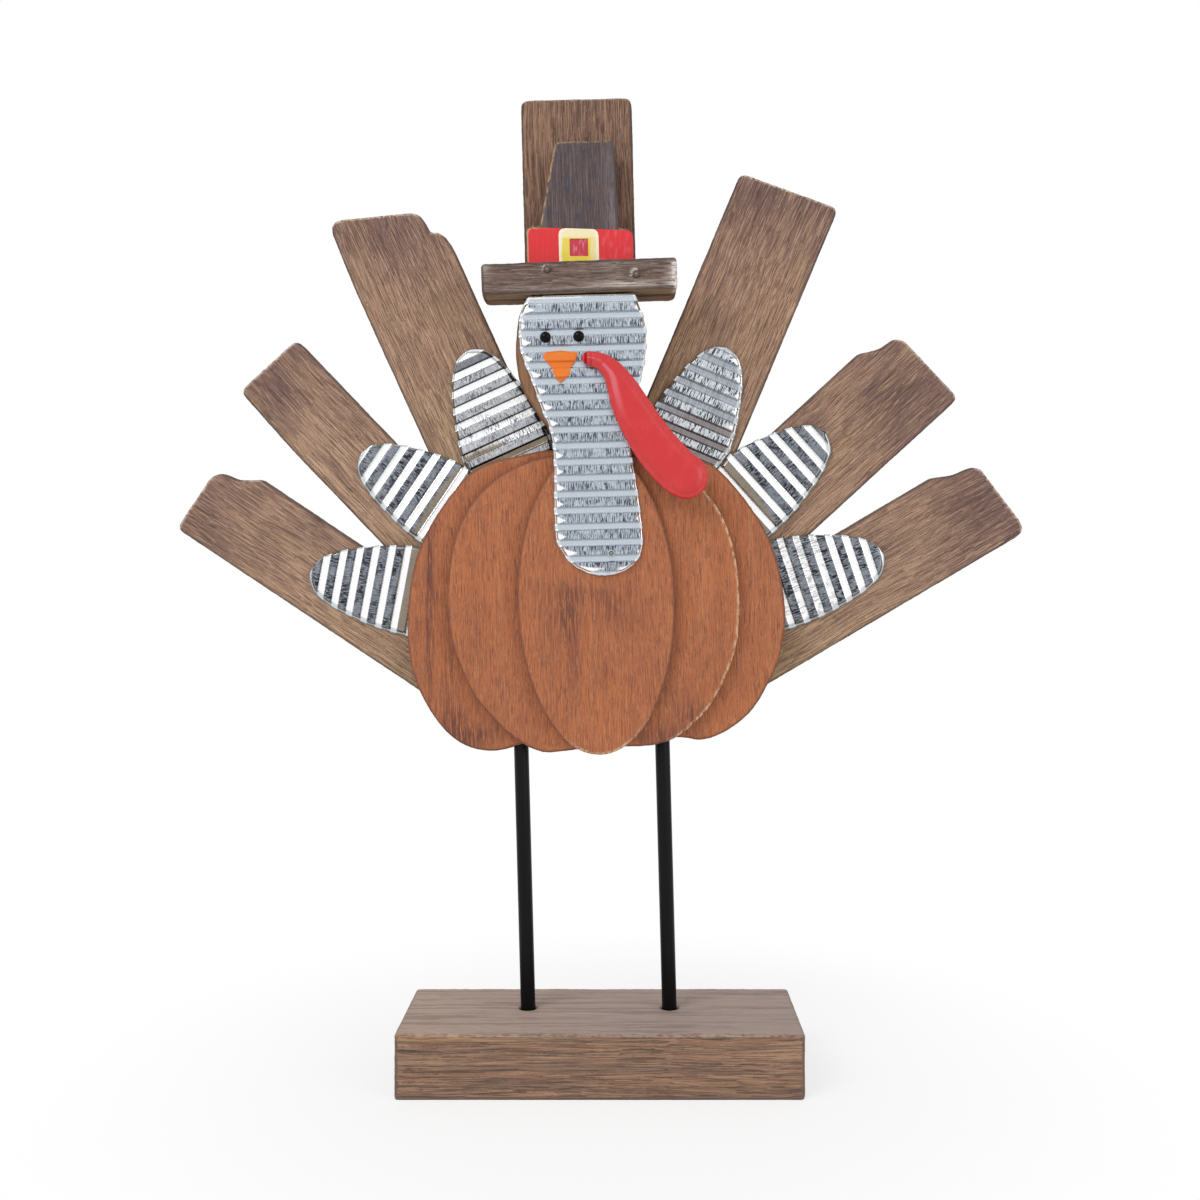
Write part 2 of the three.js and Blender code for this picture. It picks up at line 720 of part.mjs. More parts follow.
function hatBoardOutline() {
  const brimTop = hatRise + brimBoardHeight;
  const bandLeft = hatShift + bandShift - bandWidth / 2;
  const bandRight = bandLeft + bandWidth;
  const crownLeft = hatShift + crownBaseShift - crownBase / 2;
  const crownRight = crownLeft + crownBase;
  const peakLeft = hatShift + crownTopShift - crownTop / 2;
  const peakRight = peakLeft + crownTop;
  const peak = bandTop + crownHeight;
  const corners = [
    [hatShift - brimWidth / 2, hatRise, brimRound],
    [hatShift - tongueWidth / 2, hatRise, 0],
    [hatShift - tongueWidth / 2, hatRise - tongueLength, cornerRound],
    [hatShift + tongueWidth / 2, hatRise - tongueLength, cornerRound],
    [hatShift + tongueWidth / 2, hatRise, 0],
    [hatShift + brimWidth / 2, hatRise, brimRound],
    [hatShift + brimWidth / 2, brimTop, cornerRound],
    [bandRight, brimTop, 0],
    [bandRight, bandTop - bandDrop(bandRight), bandRound],
    [crownRight, bandTop - bandDrop(crownRight), 0],
    [peakRight, peak, crownRound],
    [peakLeft, peak, crownRound],
    [crownLeft, bandTop - bandDrop(crownLeft), 0],
    [bandLeft, bandTop - bandDrop(bandLeft), bandRound],
    [bandLeft, brimTop, 0],
    [hatShift - brimWidth / 2, brimTop, cornerRound],
  ];
  return rounded(corners.map(([x, z, radius]) => [new THREE.Vector2(x, z), radius]));
}

const hatGeometry = board(hatBoardOutline(), hatFront, featherBack, edgeEase);
const hatBoard = piece(figure, "hat_board", hatGeometry, woods.hat);

const brimOutline = rectangle(brimWidth - 2 * stripInset, stripHeight, stripRound);
const hatBrim = piece(figure, "hat_brim", board(brimOutline, -stripDepth, 0, stripEase), woods.brim);
hatBrim.position.set(hatShift + stripShift, middleBack, stripBottom + stripHeight / 2);
hatBrim.rotation.y = -stripTiltDegrees * degree;

// Enamel: the band and the buckle lie on the hat board, the beak follows the ribs of the sheet.

const bandFoot = stripBottom + stripHeight + 2 * seatGap;

function bandOutline(left, right, inset, radius) {
  const top = (x) => bandTop - bandDrop(x) - inset;
  const corners = [
    [left, bandFoot, 0], [right, bandFoot, 0], [right, top(right), radius], [left, top(left), radius],
  ];
  return rounded(corners.map(([x, z, radius]) => [new THREE.Vector2(x, z), radius]));
}

const bandMiddle = hatShift + bandShift;
const bandReach = bandWidth / 2 - edgeEase;
const bandShape = bandOutline(bandMiddle - bandReach, bandMiddle + bandReach, 2 * edgeEase, bandRound);
piece(figure, "hat_band", board(bandShape, hatFront - coat, hatFront), enamels.red);

function buckleGeometry() {
  const middle = bandMiddle + buckleShift;
  const reach = buckleWidth / 2;
  const outer = bandOutline(middle - reach, middle + reach, 2 * edgeEase, buckleRound);
  const front = hatFront - 2 * coat;
  const opening = new THREE.BoxGeometry(buckleOpening, 2 * cutOverrun, buckleOpening);
  opening.translate(middle, front, bandFoot + buckleSill + buckleOpening / 2);
  return subtract(board(outer, front, hatFront - coat), [opening]);
}

piece(figure, "hat_buckle", buckleGeometry(), enamels.yellow);

function beakGeometry() {
  const outline = scaled(beakShares, beakWidth / 2, beakHeight).map((point) => (
    new THREE.Vector2(headShift + beakShift + point.x, headTop - beakDrop - beakHeight + point.y)));
  const back = sheetGauge + beakGap;
  return headSheetGeometry(counterClockwise(outline), { back, front: back + coat });
}

piece(figure, "beak", beakGeometry(), enamels.orange);

// Eyes: half beads on the ribs

function eyeBead() {
  const dome = [];
  for (let step = 0; step <= domeSteps; step += 1) {
    const angle = (step / domeSteps) * (Math.PI / 2);
    dome.push(new THREE.Vector2((eyeDiameter / 2) * Math.cos(angle), -eyeBulge * Math.sin(angle)));
  }
  dome[domeSteps].x = 0;
  return new THREE.LatheGeometry([...dome.reverse(), new THREE.Vector2()], rodSides);
}

[["left", -eyeSpacing / 2], ["right", eyeSpacing / 2]].forEach(([side, x]) => {
  const eye = piece(figure, `eye_${side}`, eyeBead(), enamels.black);
  eye.position.set(headShift + eyeShift + x, sheetFront, headTop - eyeDrop);
});

// Snood: a soft-edged piece that follows a spine and swells towards its end

function snoodOutline() {
  const spine = new THREE.SplineCurve(scaled(snoodSpineShares, snoodReach, snoodFall));
  const widthPoints = snoodWidthShares.map((share, index) => new THREE.Vector2(index, share));
  const widths = new THREE.SplineCurve(widthPoints);
  const steps = 2 * snoodSpineShares.length;
  const right = [];
  const left = [];
  for (let step = 0; step <= steps; step += 1) {
    const middle = spine.getPoint(step / steps);
    const along = spine.getTangent(step / steps);
    const half = (widths.getPoint(step / steps).y * snoodWidth) / 2;
    const across = new THREE.Vector2(-along.y, along.x).multiplyScalar(half);
    left.push(middle.clone().add(across));
    right.push(middle.clone().sub(across));
  }
  const endCap = cap(spine.getPoint(1), left.at(-1));
  const startCap = cap(spine.getPoint(0), right[0]);
  return counterClockwise([...left, ...endCap, ...right.reverse(), ...startCap]);
}

// The points of a half circle about a centre, clockwise and without its two ends.
function cap(centre, from) {
  const points = [];
  for (let step = 1; step < domeSteps; step += 1) {
    points.push(from.clone().rotateAround(centre, -Math.PI * (step / domeSteps)));
  }
  return points;
}

const snood = piece(figure, "snood", board(snoodOutline(), -snoodStock, 0, snoodEase), enamels.snood);
snood.position.set(headShift + snoodShift, sheetFront - seatGap, headTop - snoodDrop);

// Nails in front: two through the brim strip, one through the foot of the head sheet

const stripFront = middleBack - stripDepth;
const stripNailEnd = stripFront + stripNailLength + seatGap;
const stripNails = [["left", -stripNailSpacing / 2, 0], ["right", stripNailSpacing / 2, stripNailStep]];
stripNails.forEach(([side, x, step]) => {
  const across = hatShift + stripNailShift + x;
  const height = stripBottom + stripNailRise - step;
  const mesh = piece(figure, `brim_nail_${side}`, nail(stripNailLength), metals.nail);
  mesh.position.set(across, stripFront, height);
  const hole = nailHole(across, height, stripFront - cutOverrun, stripNailEnd);
  [hatBrim, hatBoard].forEach((wood) => cut(wood, [hole]));
});

const neckNailX = headShift + neckNailShift;
const neckNailZ = headFoot + neckNailRise;
const neckNail = piece(figure, "neck_nail", nail(neckNailLength), metals.nail);
neckNail.position.set(neckNailX, sheetFront, neckNailZ);
const neckNailEnd = sheetFront + neckNailLength + seatGap;
const neckHole = nailHole(neckNailX, neckNailZ, sheetFront - cutOverrun, neckNailEnd);
[headSheet, frontBoard, middleBoard].forEach((mesh) => cut(mesh, [neckHole]));

// Brads from behind: two through the root of each plank into the back board

// How far a plank's outline reaches to the left and to the right at a height.
function spanAt(outline, height) {
  const upper = clip(outline, new THREE.Vector2(0, -1), edgeEase - height);
  const xs = clip(upper, new THREE.Vector2(0, 1), height).map((point) => point.x);
  return [Math.min(...xs), Math.max(...xs)];
}

const bradLength = plankBack - bodyBack + bradBite;
const bradHoles = [];
planks.forEach(({ name, tilt, rootShare }, index) => {
  const height = rootShare * fanReach + bradInset;
  const [left, right] = spanAt(plankOutlines[index], height);
  [["left", -1], ["right", 1]].forEach(([side, sign]) => {
    const across = (left + right) / 2 + (sign * bradSpreadShare * (right - left)) / 2;
    const place = new THREE.Vector2(across, height).rotateAround(new THREE.Vector2(), -tilt * degree);
    place.add(fanCentre);
    const brad = piece(figure, `tail_brad_${name}_${side}`, nail(bradLength), metals.nail);
    brad.position.set(place.x, plankBack, place.y);
    brad.rotation.z = Math.PI;
    const hole = nailHole(place.x, place.y, plankBack - bradLength - seatGap, plankBack + cutOverrun);
    bradHoles.push(hole);
    cut(plankMeshes[index], [hole]);
  });
});

featherMeshes.forEach((mesh) => cut(mesh, bradHoles));
cut(backBoard, [...rodHoles, ...bradHoles]);

export default turkey;
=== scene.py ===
# %% [markdown]
# # A turkey of stained boards and corrugated sheet
# The figure is a stack of flat pieces: seven fan planks at the back, metal feathers, three boards
# that make the round body, and in front the head with its hat. Two black rods carry it on a block.
# The fixed frame already holds every piece at its real size. This lesson gives each one its
# worn edges, its pressed ribs and its finish, and leaves every piece where the frame has it.

import math

import bmesh
import bpy
import numpy as np
from mathutils import Matrix, Vector, kdtree, noise


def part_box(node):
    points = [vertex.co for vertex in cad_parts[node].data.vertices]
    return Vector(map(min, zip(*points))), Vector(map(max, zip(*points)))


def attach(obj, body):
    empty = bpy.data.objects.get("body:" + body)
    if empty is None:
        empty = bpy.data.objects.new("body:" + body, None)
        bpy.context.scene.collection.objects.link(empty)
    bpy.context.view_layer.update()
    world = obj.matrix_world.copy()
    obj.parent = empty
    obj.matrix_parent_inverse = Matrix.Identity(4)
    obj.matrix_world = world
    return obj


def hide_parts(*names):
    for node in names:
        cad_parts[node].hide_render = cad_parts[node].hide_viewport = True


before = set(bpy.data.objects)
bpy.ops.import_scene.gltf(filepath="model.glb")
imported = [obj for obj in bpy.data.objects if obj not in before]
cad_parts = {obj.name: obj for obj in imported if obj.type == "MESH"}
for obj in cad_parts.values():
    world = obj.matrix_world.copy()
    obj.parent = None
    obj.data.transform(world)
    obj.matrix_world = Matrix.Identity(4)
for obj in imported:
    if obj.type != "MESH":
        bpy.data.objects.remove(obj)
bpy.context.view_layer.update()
print("frame nodes:", len(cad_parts))

# %% [markdown]
# ## Small helpers
# Lengths are written in millimetres and turned into Blender's metres by one factor. Operators act
# on whatever is selected, so everything is deselected before a piece is touched.

# %% Units, selection and settling a piece
MM = 0.001
RNG = np.random.default_rng(11)


def select_only(piece):
    bpy.ops.object.select_all(action="DESELECT")
    piece.select_set(True)
    bpy.context.view_layer.objects.active = piece


def edit(piece, select):
    """Opens a piece in edit mode with all of its faces selected, or none."""
    select_only(piece)
    bpy.ops.object.mode_set(mode="EDIT")
    bpy.ops.mesh.select_all(action=select)


def close_edit():
    bpy.ops.object.mode_set(mode="OBJECT")


def edit_faces(piece, wanted):
    """Opens a piece in edit mode with the faces selected that are wanted."""
    edit(piece, "DESELECT")
    close_edit()
    for face in piece.data.polygons:
        face.select = wanted(face)
    bpy.ops.object.mode_set(mode="EDIT")


def modify(piece, kind, **settings):
    """Adds a modifier with its settings and applies it."""
    select_only(piece)
    modifier = piece.modifiers.new(kind.lower(), kind)
    for name, value in settings.items():
        setattr(modifier, name, value)
    bpy.ops.object.modifier_apply(modifier=modifier.name)


def settle(piece, node, material):
    """Puts a finished piece in the place of its node, with its material."""
    piece.data.materials.clear()
    piece.data.materials.append(material)
    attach(piece, "root")
    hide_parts(node)
    print(f"{piece.name}: {len(piece.data.polygons)} faces")


# %% Read and write a mesh as rows of numbers


def corners(piece):
    """The piece's vertices as an array of rows x, y, z."""
    places = np.empty(len(piece.data.vertices) * 3, np.float32)
    piece.data.vertices.foreach_get("co", places)
    return places.reshape(-1, 3)


def move_corners(piece, places):
    piece.data.vertices.foreach_set("co", places.astype(np.float32).ravel())
    piece.data.update()


def store(piece, name, values):
    """Stores one number or one vector for each vertex, for the materials to read."""
    kind, part = ("FLOAT_VECTOR", "vector") if values.ndim == 2 else ("FLOAT", "value")
    attribute = piece.data.attributes.new(name, kind, "POINT")
    attribute.data.foreach_set(part, values.astype(np.float32).ravel())


def soft_step(value, low, high):
    """0 below low, 1 above high, and a smooth way between them."""
    share = np.clip((value - low) / (high - low), 0, 1)
    return share * share * (3 - 2 * share)


# %% [markdown]
# ## The camera
# The photograph was taken level, from a little over 60 cm, with the lens pointing at the body. A
# 42 mm lens on a 36 mm sensor gives the same perspective, and a small shift centres the figure.

# %% Place the camera
CAMERA_PLACE = (9.5 * MM, -608 * MM, 214.7 * MM)
LENS = 42.45
SHIFT = (-0.0192, -0.0225)

bpy.ops.object.camera_add(location=CAMERA_PLACE, rotation=(math.pi / 2, 0, 0))
camera = bpy.context.object
camera.data.sensor_width = 36
camera.data.lens = LENS
camera.data.shift_x, camera.data.shift_y = SHIFT
bpy.context.scene.camera = camera
print("camera at", [round(value, 3) for value in CAMERA_PLACE])

# %% [markdown]
# ## Nodes and colours
# A material is a small graph. One function adds a node with its settings and its links. Sockets
# that share a name are told apart by their number. In Math, 0, 1 and 2 are the values. In Map
# Range, 0 is the value, 1 and 2 are the range it comes from, and 3 and 4 the range it goes to. In
# Mix, 0 is the share, 6 and 7 are the two colours, and output 2 is the result. Colours are picked
# in sRGB, as on a colour card, and one function turns them to the shader's linear values.

# %% Add nodes and read colours
SMOOTH = {"interpolation_type": "SMOOTHSTEP"}
RESULT = 2


def add(tree, kind, inputs=None, **settings):
    """Adds a node, sets its properties, and fills or links its inputs.

    A node that is given as an input stands for its first output in use.
    """
    node = tree.nodes.new(kind)
    for name, value in settings.items():
        setattr(node, name, value)
    for name, value in (inputs or {}).items():
        if isinstance(value, bpy.types.Node):
            value = next(socket for socket in value.outputs if socket.enabled)
        if isinstance(value, bpy.types.NodeSocket):
            tree.links.new(value, node.inputs[name])
        else:
            node.inputs[name].default_value = value
    return node


def linear(code):
    """An sRGB hex colour as linear red, green, blue and alpha."""
    shares = [int(code[i:i + 2], 16) / 255 for i in (1, 3, 5)]
    return (*[s / 12.92 if s <= 0.04045 else ((s + 0.055) / 1.055) ** 2.4 for s in shares], 1)


# %% [markdown]
# Four small recipes come back in the finishes. A new material starts from one shader with its
# constants. Streaks are a noise that is stretched along one axis and cut to a soft edge, with
# their width and length in millimetres. A coat lays a colour over what is there, through a mask.
# At the end the shader gets the colour, and a relief from a height.

# %% Start a material, draw streaks, lay a coat, finish
NOISE_ROUGHNESS = 0.6


def surface(name, **constants):
    """A new material, its tree and its shader, with the shader's constants set."""
    material = bpy.data.materials.new(name)
    material.use_nodes = True
    shader = material.node_tree.nodes["Principled BSDF"]
    for socket, value in constants.items():
        shader.inputs[socket.replace("_", " ")].default_value = value
    print("finish:", name)
    return material, material.node_tree, shader


def streaks(tree, place, width, length, low, high, detail=3):
    """A mask of streaks along the third axis of a place in millimetres. It starts where the noise
    is above low, and is full above high."""
    stretched = add(tree, "ShaderNodeMapping",
                    {"Vector": place, "Scale": (1 / width, 1 / width, 1 / length)})
    cloud = add(tree, "ShaderNodeTexNoise",
                {"Vector": stretched, "Scale": 1.0, "Detail": detail, "Roughness": NOISE_ROUGHNESS})
    return add(tree, "ShaderNodeMapRange", {0: cloud, 1: low, 2: high}, **SMOOTH)


def coat(tree, under, mask, strength, code):
    """A colour laid over another, as strongly as the mask times a strength or a second mask."""
    share = add(tree, "ShaderNodeMath", {0: mask, 1: strength}, operation="MULTIPLY")
    return add(tree, "ShaderNodeMix", {0: share, 6: under, 7: linear(code)}, data_type="RGBA")


def finish(tree, shader, colour, height, relief, depth):
    """Gives a shader its colour, and a relief as strong as relief over a depth."""
    tree.links.new(colour.outputs[RESULT], shader.inputs["Base Color"])
    bump = add(tree, "ShaderNodeBump", {"Height": height, "Strength": relief, "Distance": depth})
    tree.links.new(bump.outputs[0], shader.inputs["Normal"])


# %% [markdown]
# ## Worn boards
# A sawn and sanded board has no true edge: every corner is a little rounded and nibbled, and stain
# rubs off there first. One way is to bevel by hand. Here a copy of the flat board is remeshed into
# small even faces, smoothed so that its corners soften, and pushed a little by two clouds, a broad
# one for the uneven saw cut and a fine one for the chips. Even faces also let each vertex store
# what the stain needs: its place along the grain, its distance to the nearest edge, whether that
# edge is one that was rubbed bare, and how dirty the board is there. At the end the board is kept
# inside the box of its node, so that wear never makes it larger.

# %% Find the edges of a flat board
SHARP = math.radians(28)
EDGE_STEP = 0.5 * MM
TOUCHING = 0.01 * MM


def merged_copy(node, name):
    """A copy of a node's mesh with its loose triangles joined up."""
    piece = bpy.data.objects.new(name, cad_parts[node].data.copy())
    bpy.context.scene.collection.objects.link(piece)
    edit(piece, "SELECT")
    bpy.ops.mesh.remove_doubles(threshold=TOUCHING)
    close_edit()
    return piece


def sharp_edges(piece):
    """Both ends of each edge where two faces meet at an angle, and its way out of the board."""
    mesh = bmesh.new()
    mesh.from_mesh(piece.data)
    edges = []
    for edge in mesh.edges:
        if len(edge.link_faces) == 2 and edge.calc_face_angle() > SHARP:
            out = edge.link_faces[0].normal + edge.link_faces[1].normal
            start, end = [vert.co.copy() for vert in edge.verts]
            edges.append((start, end, Vector((out.x, 0, out.z)).normalized()))
    mesh.free()
    return edges


def measure_edges(points, edges, scale=(1, 1, 1)):
    """For each point, the millimetres to the nearest edge and that edge's way out. A scale of 0
    on an axis leaves the axis out."""
    samples, ways = [], []
    for start, end, out in edges:
        count = max(1, int((end - start).length / EDGE_STEP))
        samples += [start.lerp(end, step / count) * Vector(scale) for step in range(count + 1)]
        ways += [out] * (count + 1)
    tree = kdtree.KDTree(len(samples))
    for index, sample in enumerate(samples):
        tree.insert(sample, index)
    tree.balance()
    found = [tree.find(Vector(point) * Vector(scale)) for point in points]
    return np.array([hit[2] for hit in found]) / MM, np.array([ways[hit[1]] for hit in found])


# %% Wear a flat board
SAW_SIZE = 11
SAW_DEPTH = 0.25
CHIP_SIZE = 1.7
CHIP_DEPTH = 0.28
INWARD = 0.72
SMOOTHING = 0.5


def cloud_texture(name, size):
    texture = bpy.data.textures.new(name, "CLOUDS")
    texture.noise_scale = size * MM
    texture.noise_depth = 3
    return texture


SAW_CLOUD = cloud_texture("saw cut", SAW_SIZE)
CHIP_CLOUD = cloud_texture("chips", CHIP_SIZE)


def wear(piece, face, soft):
    """Remeshes a board into even faces, softens its corners and nibbles at its surface."""
    modify(piece, "REMESH", mode="VOXEL", voxel_size=face * MM)
    modify(piece, "SMOOTH", factor=SMOOTHING, iterations=soft)
    for texture, depth in ((SAW_CLOUD, SAW_DEPTH), (CHIP_CLOUD, CHIP_DEPTH)):
        modify(piece, "DISPLACE", texture=texture, texture_coords="GLOBAL",
               strength=depth * MM, mid_level=INWARD)


# %% Find the grain and the dirt of a board


def longest_lean(edges):
    """The angle between upright and a board's longest edge."""
    start, end, _ = max(edges, key=lambda edge: (edge[1] - edge[0]).length)
    lean = end - start if end.z > start.z else start - end
    return math.atan2(lean.x, lean.z)


def grain_place(points, angle):
    """Places in millimetres across, into and along a board whose grain leans by an angle."""
    across = points[:, 0] * math.cos(angle) - points[:, 2] * math.sin(angle)
    along = points[:, 0] * math.sin(angle) + points[:, 2] * math.cos(angle)
    return np.column_stack([across, points[:, 1], along]) / MM


def dirt(points, node, marks):
    """The dirt on a board from soft marks. A mark is its place across and up the board, its half
    width, its half length and its strength, the first four as shares of the node's box."""
    low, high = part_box(node)
    total = np.zeros(len(points))
    for x, z, half_width, half_length, strength in marks:
        across = ((points[:, 0] - low.x) / (high.x - low.x) - x) / half_width
        along = ((points[:, 2] - low.z) / (high.z - low.z) - z) / half_length
        total += strength * np.exp(-across ** 2 - along ** 2)
    return np.clip(total, 0, 1)


# %% Turn a flat board into a worn one
RUBBED_FROM = 0.35
RUBBED_FULL = 0.75
GRAIN_SHIFT = 400
FOOT_FLAT = 0.7


def worn_board(node, material, face=0.8, soft=4, angle=None, rub=None, marks=(), faded=0.0):
    """A board with soft, nibbled edges. The grain runs along its longest edge or at an angle. The
    edges that face the way of rub were rubbed, or else those at the end of the grain."""
    piece = merged_copy(node, f"{node}_worn")
    edges = sharp_edges(piece)
    angle = longest_lean(edges) if angle is None else angle
    along = Vector((math.sin(angle), 0, math.cos(angle)))
    wear(piece, face, soft)
    points = corners(piece).copy()
    grain = grain_place(points, angle)
    distance, out = measure_edges(points, edges)
    faces_rub = out @ np.array(along if rub is None else rub)
    store(piece, "edge", distance)
    store(piece, "rubbed", soft_step(faces_rub, RUBBED_FROM, RUBBED_FULL))
    store(piece, "reach", grain[:, 2].max() - grain[:, 2])
    store(piece, "dirt", dirt(points, node, marks))
    store(piece, "pale", np.full(len(points), faded))
    store(piece, "grain", grain + RNG.uniform(-GRAIN_SHIFT, GRAIN_SHIFT, 3))
    low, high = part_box(node)
    if low.z < TOUCHING:
        points[points[:, 2] < FOOT_FLAT * MM, 2] = 0
    move_corners(piece, np.clip(points, low, high))
    select_only(piece)
    bpy.ops.object.shade_smooth()
    settle(piece, node, material)


# %% [markdown]
# ## Stained wood
# The boards are softwood under a thin stain that was brushed on and rubbed back. Stain sinks into
# the open grain and leaves it dark, so the finish is the wood's ground colour with layers of
# streaks over it: broad tones a hand wide, year lines of about a millimetre, and pores of a few
# tenths, drawn a little coarser so that they show. Edges that were rubbed are pale and fuzzy, and
# the others keep a thin dark line of stain. Wood has an IOR near 1.5, and matt stain is rough.

# %% Name what the stains share
WOOD_IOR = 1.5
STAIN_ROUGHNESS = 0.75
GRAIN_DEPTH = 0.4 * MM
DRIFT_SIZE = 38
DRIFT_BEND = 2.5
TONE_DRIFT = 90

# A layer narrower than this also sinks into the surface.
FINE_WIDTH = 3

# A pattern is the width and length of its streaks, and where its mask starts and is full.
SMUDGE = (0.55, 8, 0.44, 0.54)
SCRATCHES = (0.8, 40, 0.5, 0.56)
MOTTLE = (5, 5, 0.3, 0.5)
FUZZ = (1.2, 3, 0.36, 0.6)

# A ramp is where a mask starts and where it is full, as inputs of Map Range.
SIDEWAYS = {1: 0.75, 2: 0.35}
EDGE_LINE = {1: 1.0, 2: 0.3, 4: 0.7}
EDGE_ITSELF = 0.1

# %% Lay the ground and the streaks of a stain


def drifting_grain(tree):
    """The place in the grain, bent a little by a slow drift, and the drift itself."""
    straight = add(tree, "ShaderNodeAttribute", attribute_name="grain").outputs["Vector"]
    drift = add(tree, "ShaderNodeTexNoise", {"Vector": straight, "Scale": 1 / DRIFT_SIZE})
    bend = add(tree, "ShaderNodeVectorMath",
               {0: drift.outputs["Color"], 1: (DRIFT_BEND, DRIFT_BEND, 0)}, operation="MULTIPLY")
    return add(tree, "ShaderNodeVectorMath", {0: straight, 1: bend}), drift


def ground_coat(tree, drift, ground, tones):
    """The ground colour, paler on a faded board, with tones that start and end along it."""
    faded = add(tree, "ShaderNodeAttribute", attribute_name="pale").outputs["Fac"]
    colour = coat(tree, linear(ground), faded, 0.5, "#c9a98b")
    reach = add(tree, "ShaderNodeAttribute", attribute_name="reach").outputs["Fac"]
    wander = add(tree, "ShaderNodeMath", {0: drift, 1: TONE_DRIFT, 2: reach}, operation="MULTIPLY_ADD")
    for start, end, code, strength in tones:
        within = add(tree, "ShaderNodeMapRange", {0: wander, 1: start, 2: end}, **SMOOTH)
        colour = coat(tree, colour, within, strength, code)
    return colour


def streak_coats(tree, place, colour, layers):
    """The layers of streaks, how far they sink in, and the last one's mask and colour."""
    height = 0.0
    for width, length, low, high, code, strength in layers:
        mask = streaks(tree, place, width, length, low, high)
        colour = coat(tree, colour, mask, strength, code)
        if width < FINE_WIDTH:
            height = add(tree, "ShaderNodeMath", {0: mask, 1: -strength, 2: height},
                         operation="MULTIPLY_ADD")
    return colour, height, (mask, code)


# %% Add dirt, sawn sides and worn edges to a stain


def soiled(tree, place, colour, code):
    """Smudges and scratches where the board is marked."""
    dirty = add(tree, "ShaderNodeAttribute", attribute_name="dirt").outputs["Fac"]
    for pattern in (SMUDGE, SCRATCHES):
        colour = coat(tree, colour, streaks(tree, place, *pattern), dirty, code)
    return colour


def sawn_sides(tree, colour, side, share, last_layer):
    """Another tone on the sawn sides, with the last layer of streaks drawn over it again."""
    normal = add(tree, "ShaderNodeNewGeometry").outputs["Normal"]
    facing = add(tree, "ShaderNodeSeparateXYZ", {0: normal}).outputs["Y"]
    flat = add(tree, "ShaderNodeMath", {0: facing}, operation="ABSOLUTE")
    wall = add(tree, "ShaderNodeMapRange", {0: flat, **SIDEWAYS}, **SMOOTH)
    colour = coat(tree, colour, wall, share, side)
    mask, code = last_layer
    on_wall = add(tree, "ShaderNodeMath", {0: mask, 1: wall}, operation="MULTIPLY")
    return coat(tree, colour, on_wall, 0.6 * share, code)


def bare_below(tree, place, colour, level, code):
    """Wood that stayed bare below a level, with a faint mottle of its colour above it."""
    body = add(tree, "ShaderNodeTexCoord").outputs["Object"]
    height = add(tree, "ShaderNodeSeparateXYZ", {0: body}).outputs["Z"]
    below = add(tree, "ShaderNodeMath", {0: height, 1: level}, operation="LESS_THAN")
    colour = coat(tree, colour, below, 0.85, code)
    return coat(tree, colour, streaks(tree, place, *MOTTLE), 0.12, code)


def worn_edges(tree, place, colour, worn, worn_reach, line):
    """A thin line of stain along the edges that were kept, and pale fuzz along the rubbed ones."""
    edge = add(tree, "ShaderNodeAttribute", attribute_name="edge").outputs["Fac"]
    rubbed = add(tree, "ShaderNodeAttribute", attribute_name="rubbed").outputs["Fac"]
    kept = add(tree, "ShaderNodeMath", {0: 1.0, 1: rubbed}, operation="SUBTRACT")
    beside = add(tree, "ShaderNodeMapRange", {0: edge, **EDGE_LINE}, **SMOOTH)
    colour = coat(tree, colour, beside, kept, line)
    near = add(tree, "ShaderNodeMapRange", {0: edge, 1: worn_reach, 2: EDGE_ITSELF}, **SMOOTH)
    fuzz = streaks(tree, place, *FUZZ)
    patchy = add(tree, "ShaderNodeMath", {0: fuzz, 1: rubbed}, operation="MULTIPLY")
    return coat(tree, colour, near, patchy, worn)


# %% Build a stained wood


def stained_wood(name, ground, layers, worn, worn_reach, line, side="#4a382c", side_share=0.6,
                 tones=(), dirty="#54403a", bare=None, relief=0.3):
    """A brushed stain. A layer is width, length, low, high, colour and strength. A tone is the
    reach from the board's upper end where it starts and where it is full, colour and strength."""
    material, tree, shader = surface(name, Roughness=STAIN_ROUGHNESS, IOR=WOOD_IOR)
    place, drift = drifting_grain(tree)
    colour = ground_coat(tree, drift, ground, tones)
    colour, height, last_layer = streak_coats(tree, place, colour, layers)
    colour = soiled(tree, place, colour, dirty)
    colour = sawn_sides(tree, colour, side, side_share, last_layer)
    if bare:
        colour = bare_below(tree, place, colour, *bare)
    colour = worn_edges(tree, place, colour, worn, worn_reach, line)
    finish(tree, shader, colour, height, relief, GRAIN_DEPTH)
    return material


# %% [markdown]
# ### The planks
# The fan planks are stained brown and then over again at their tips, where the stain is a purple
# brown with a few dark streaks. Towards the body they are left an olive tan. The centre plank is
# the darkest, with strong straight year lines. One could paint each plank by hand. Here all seven
# share two stains, and each gets its own share of fading and its own marks.

# %% Stain the planks
PLANK_STAIN = stained_wood(
    "Brown stained pine, brushed", "#9b745d",
    [
        (16, 70, 0.46, 0.68, "#a9855f", 0.5),
        (5, 60, 0.5, 0.66, "#76524a", 0.5),
        (0.9, 50, 0.46, 0.66, "#6d4f42", 0.34),
        (0.35, 12, 0.48, 0.6, "#caa98b", 0.5),
        (0.28, 9, 0.48, 0.6, "#d3b396", 0.32),
        (0.28, 13, 0.48, 0.6, "#4a342b", 0.6),
        (0.3, 20, 0.53, 0.6, "#362520", 0.6),
    ],
    worn="#d3c4b4", worn_reach=1.1, line="#42332e", dirty="#4a3436",
    tones=[(105, 38, "#623f43", 0.9), (120, 190, "#b0946c", 0.8)])

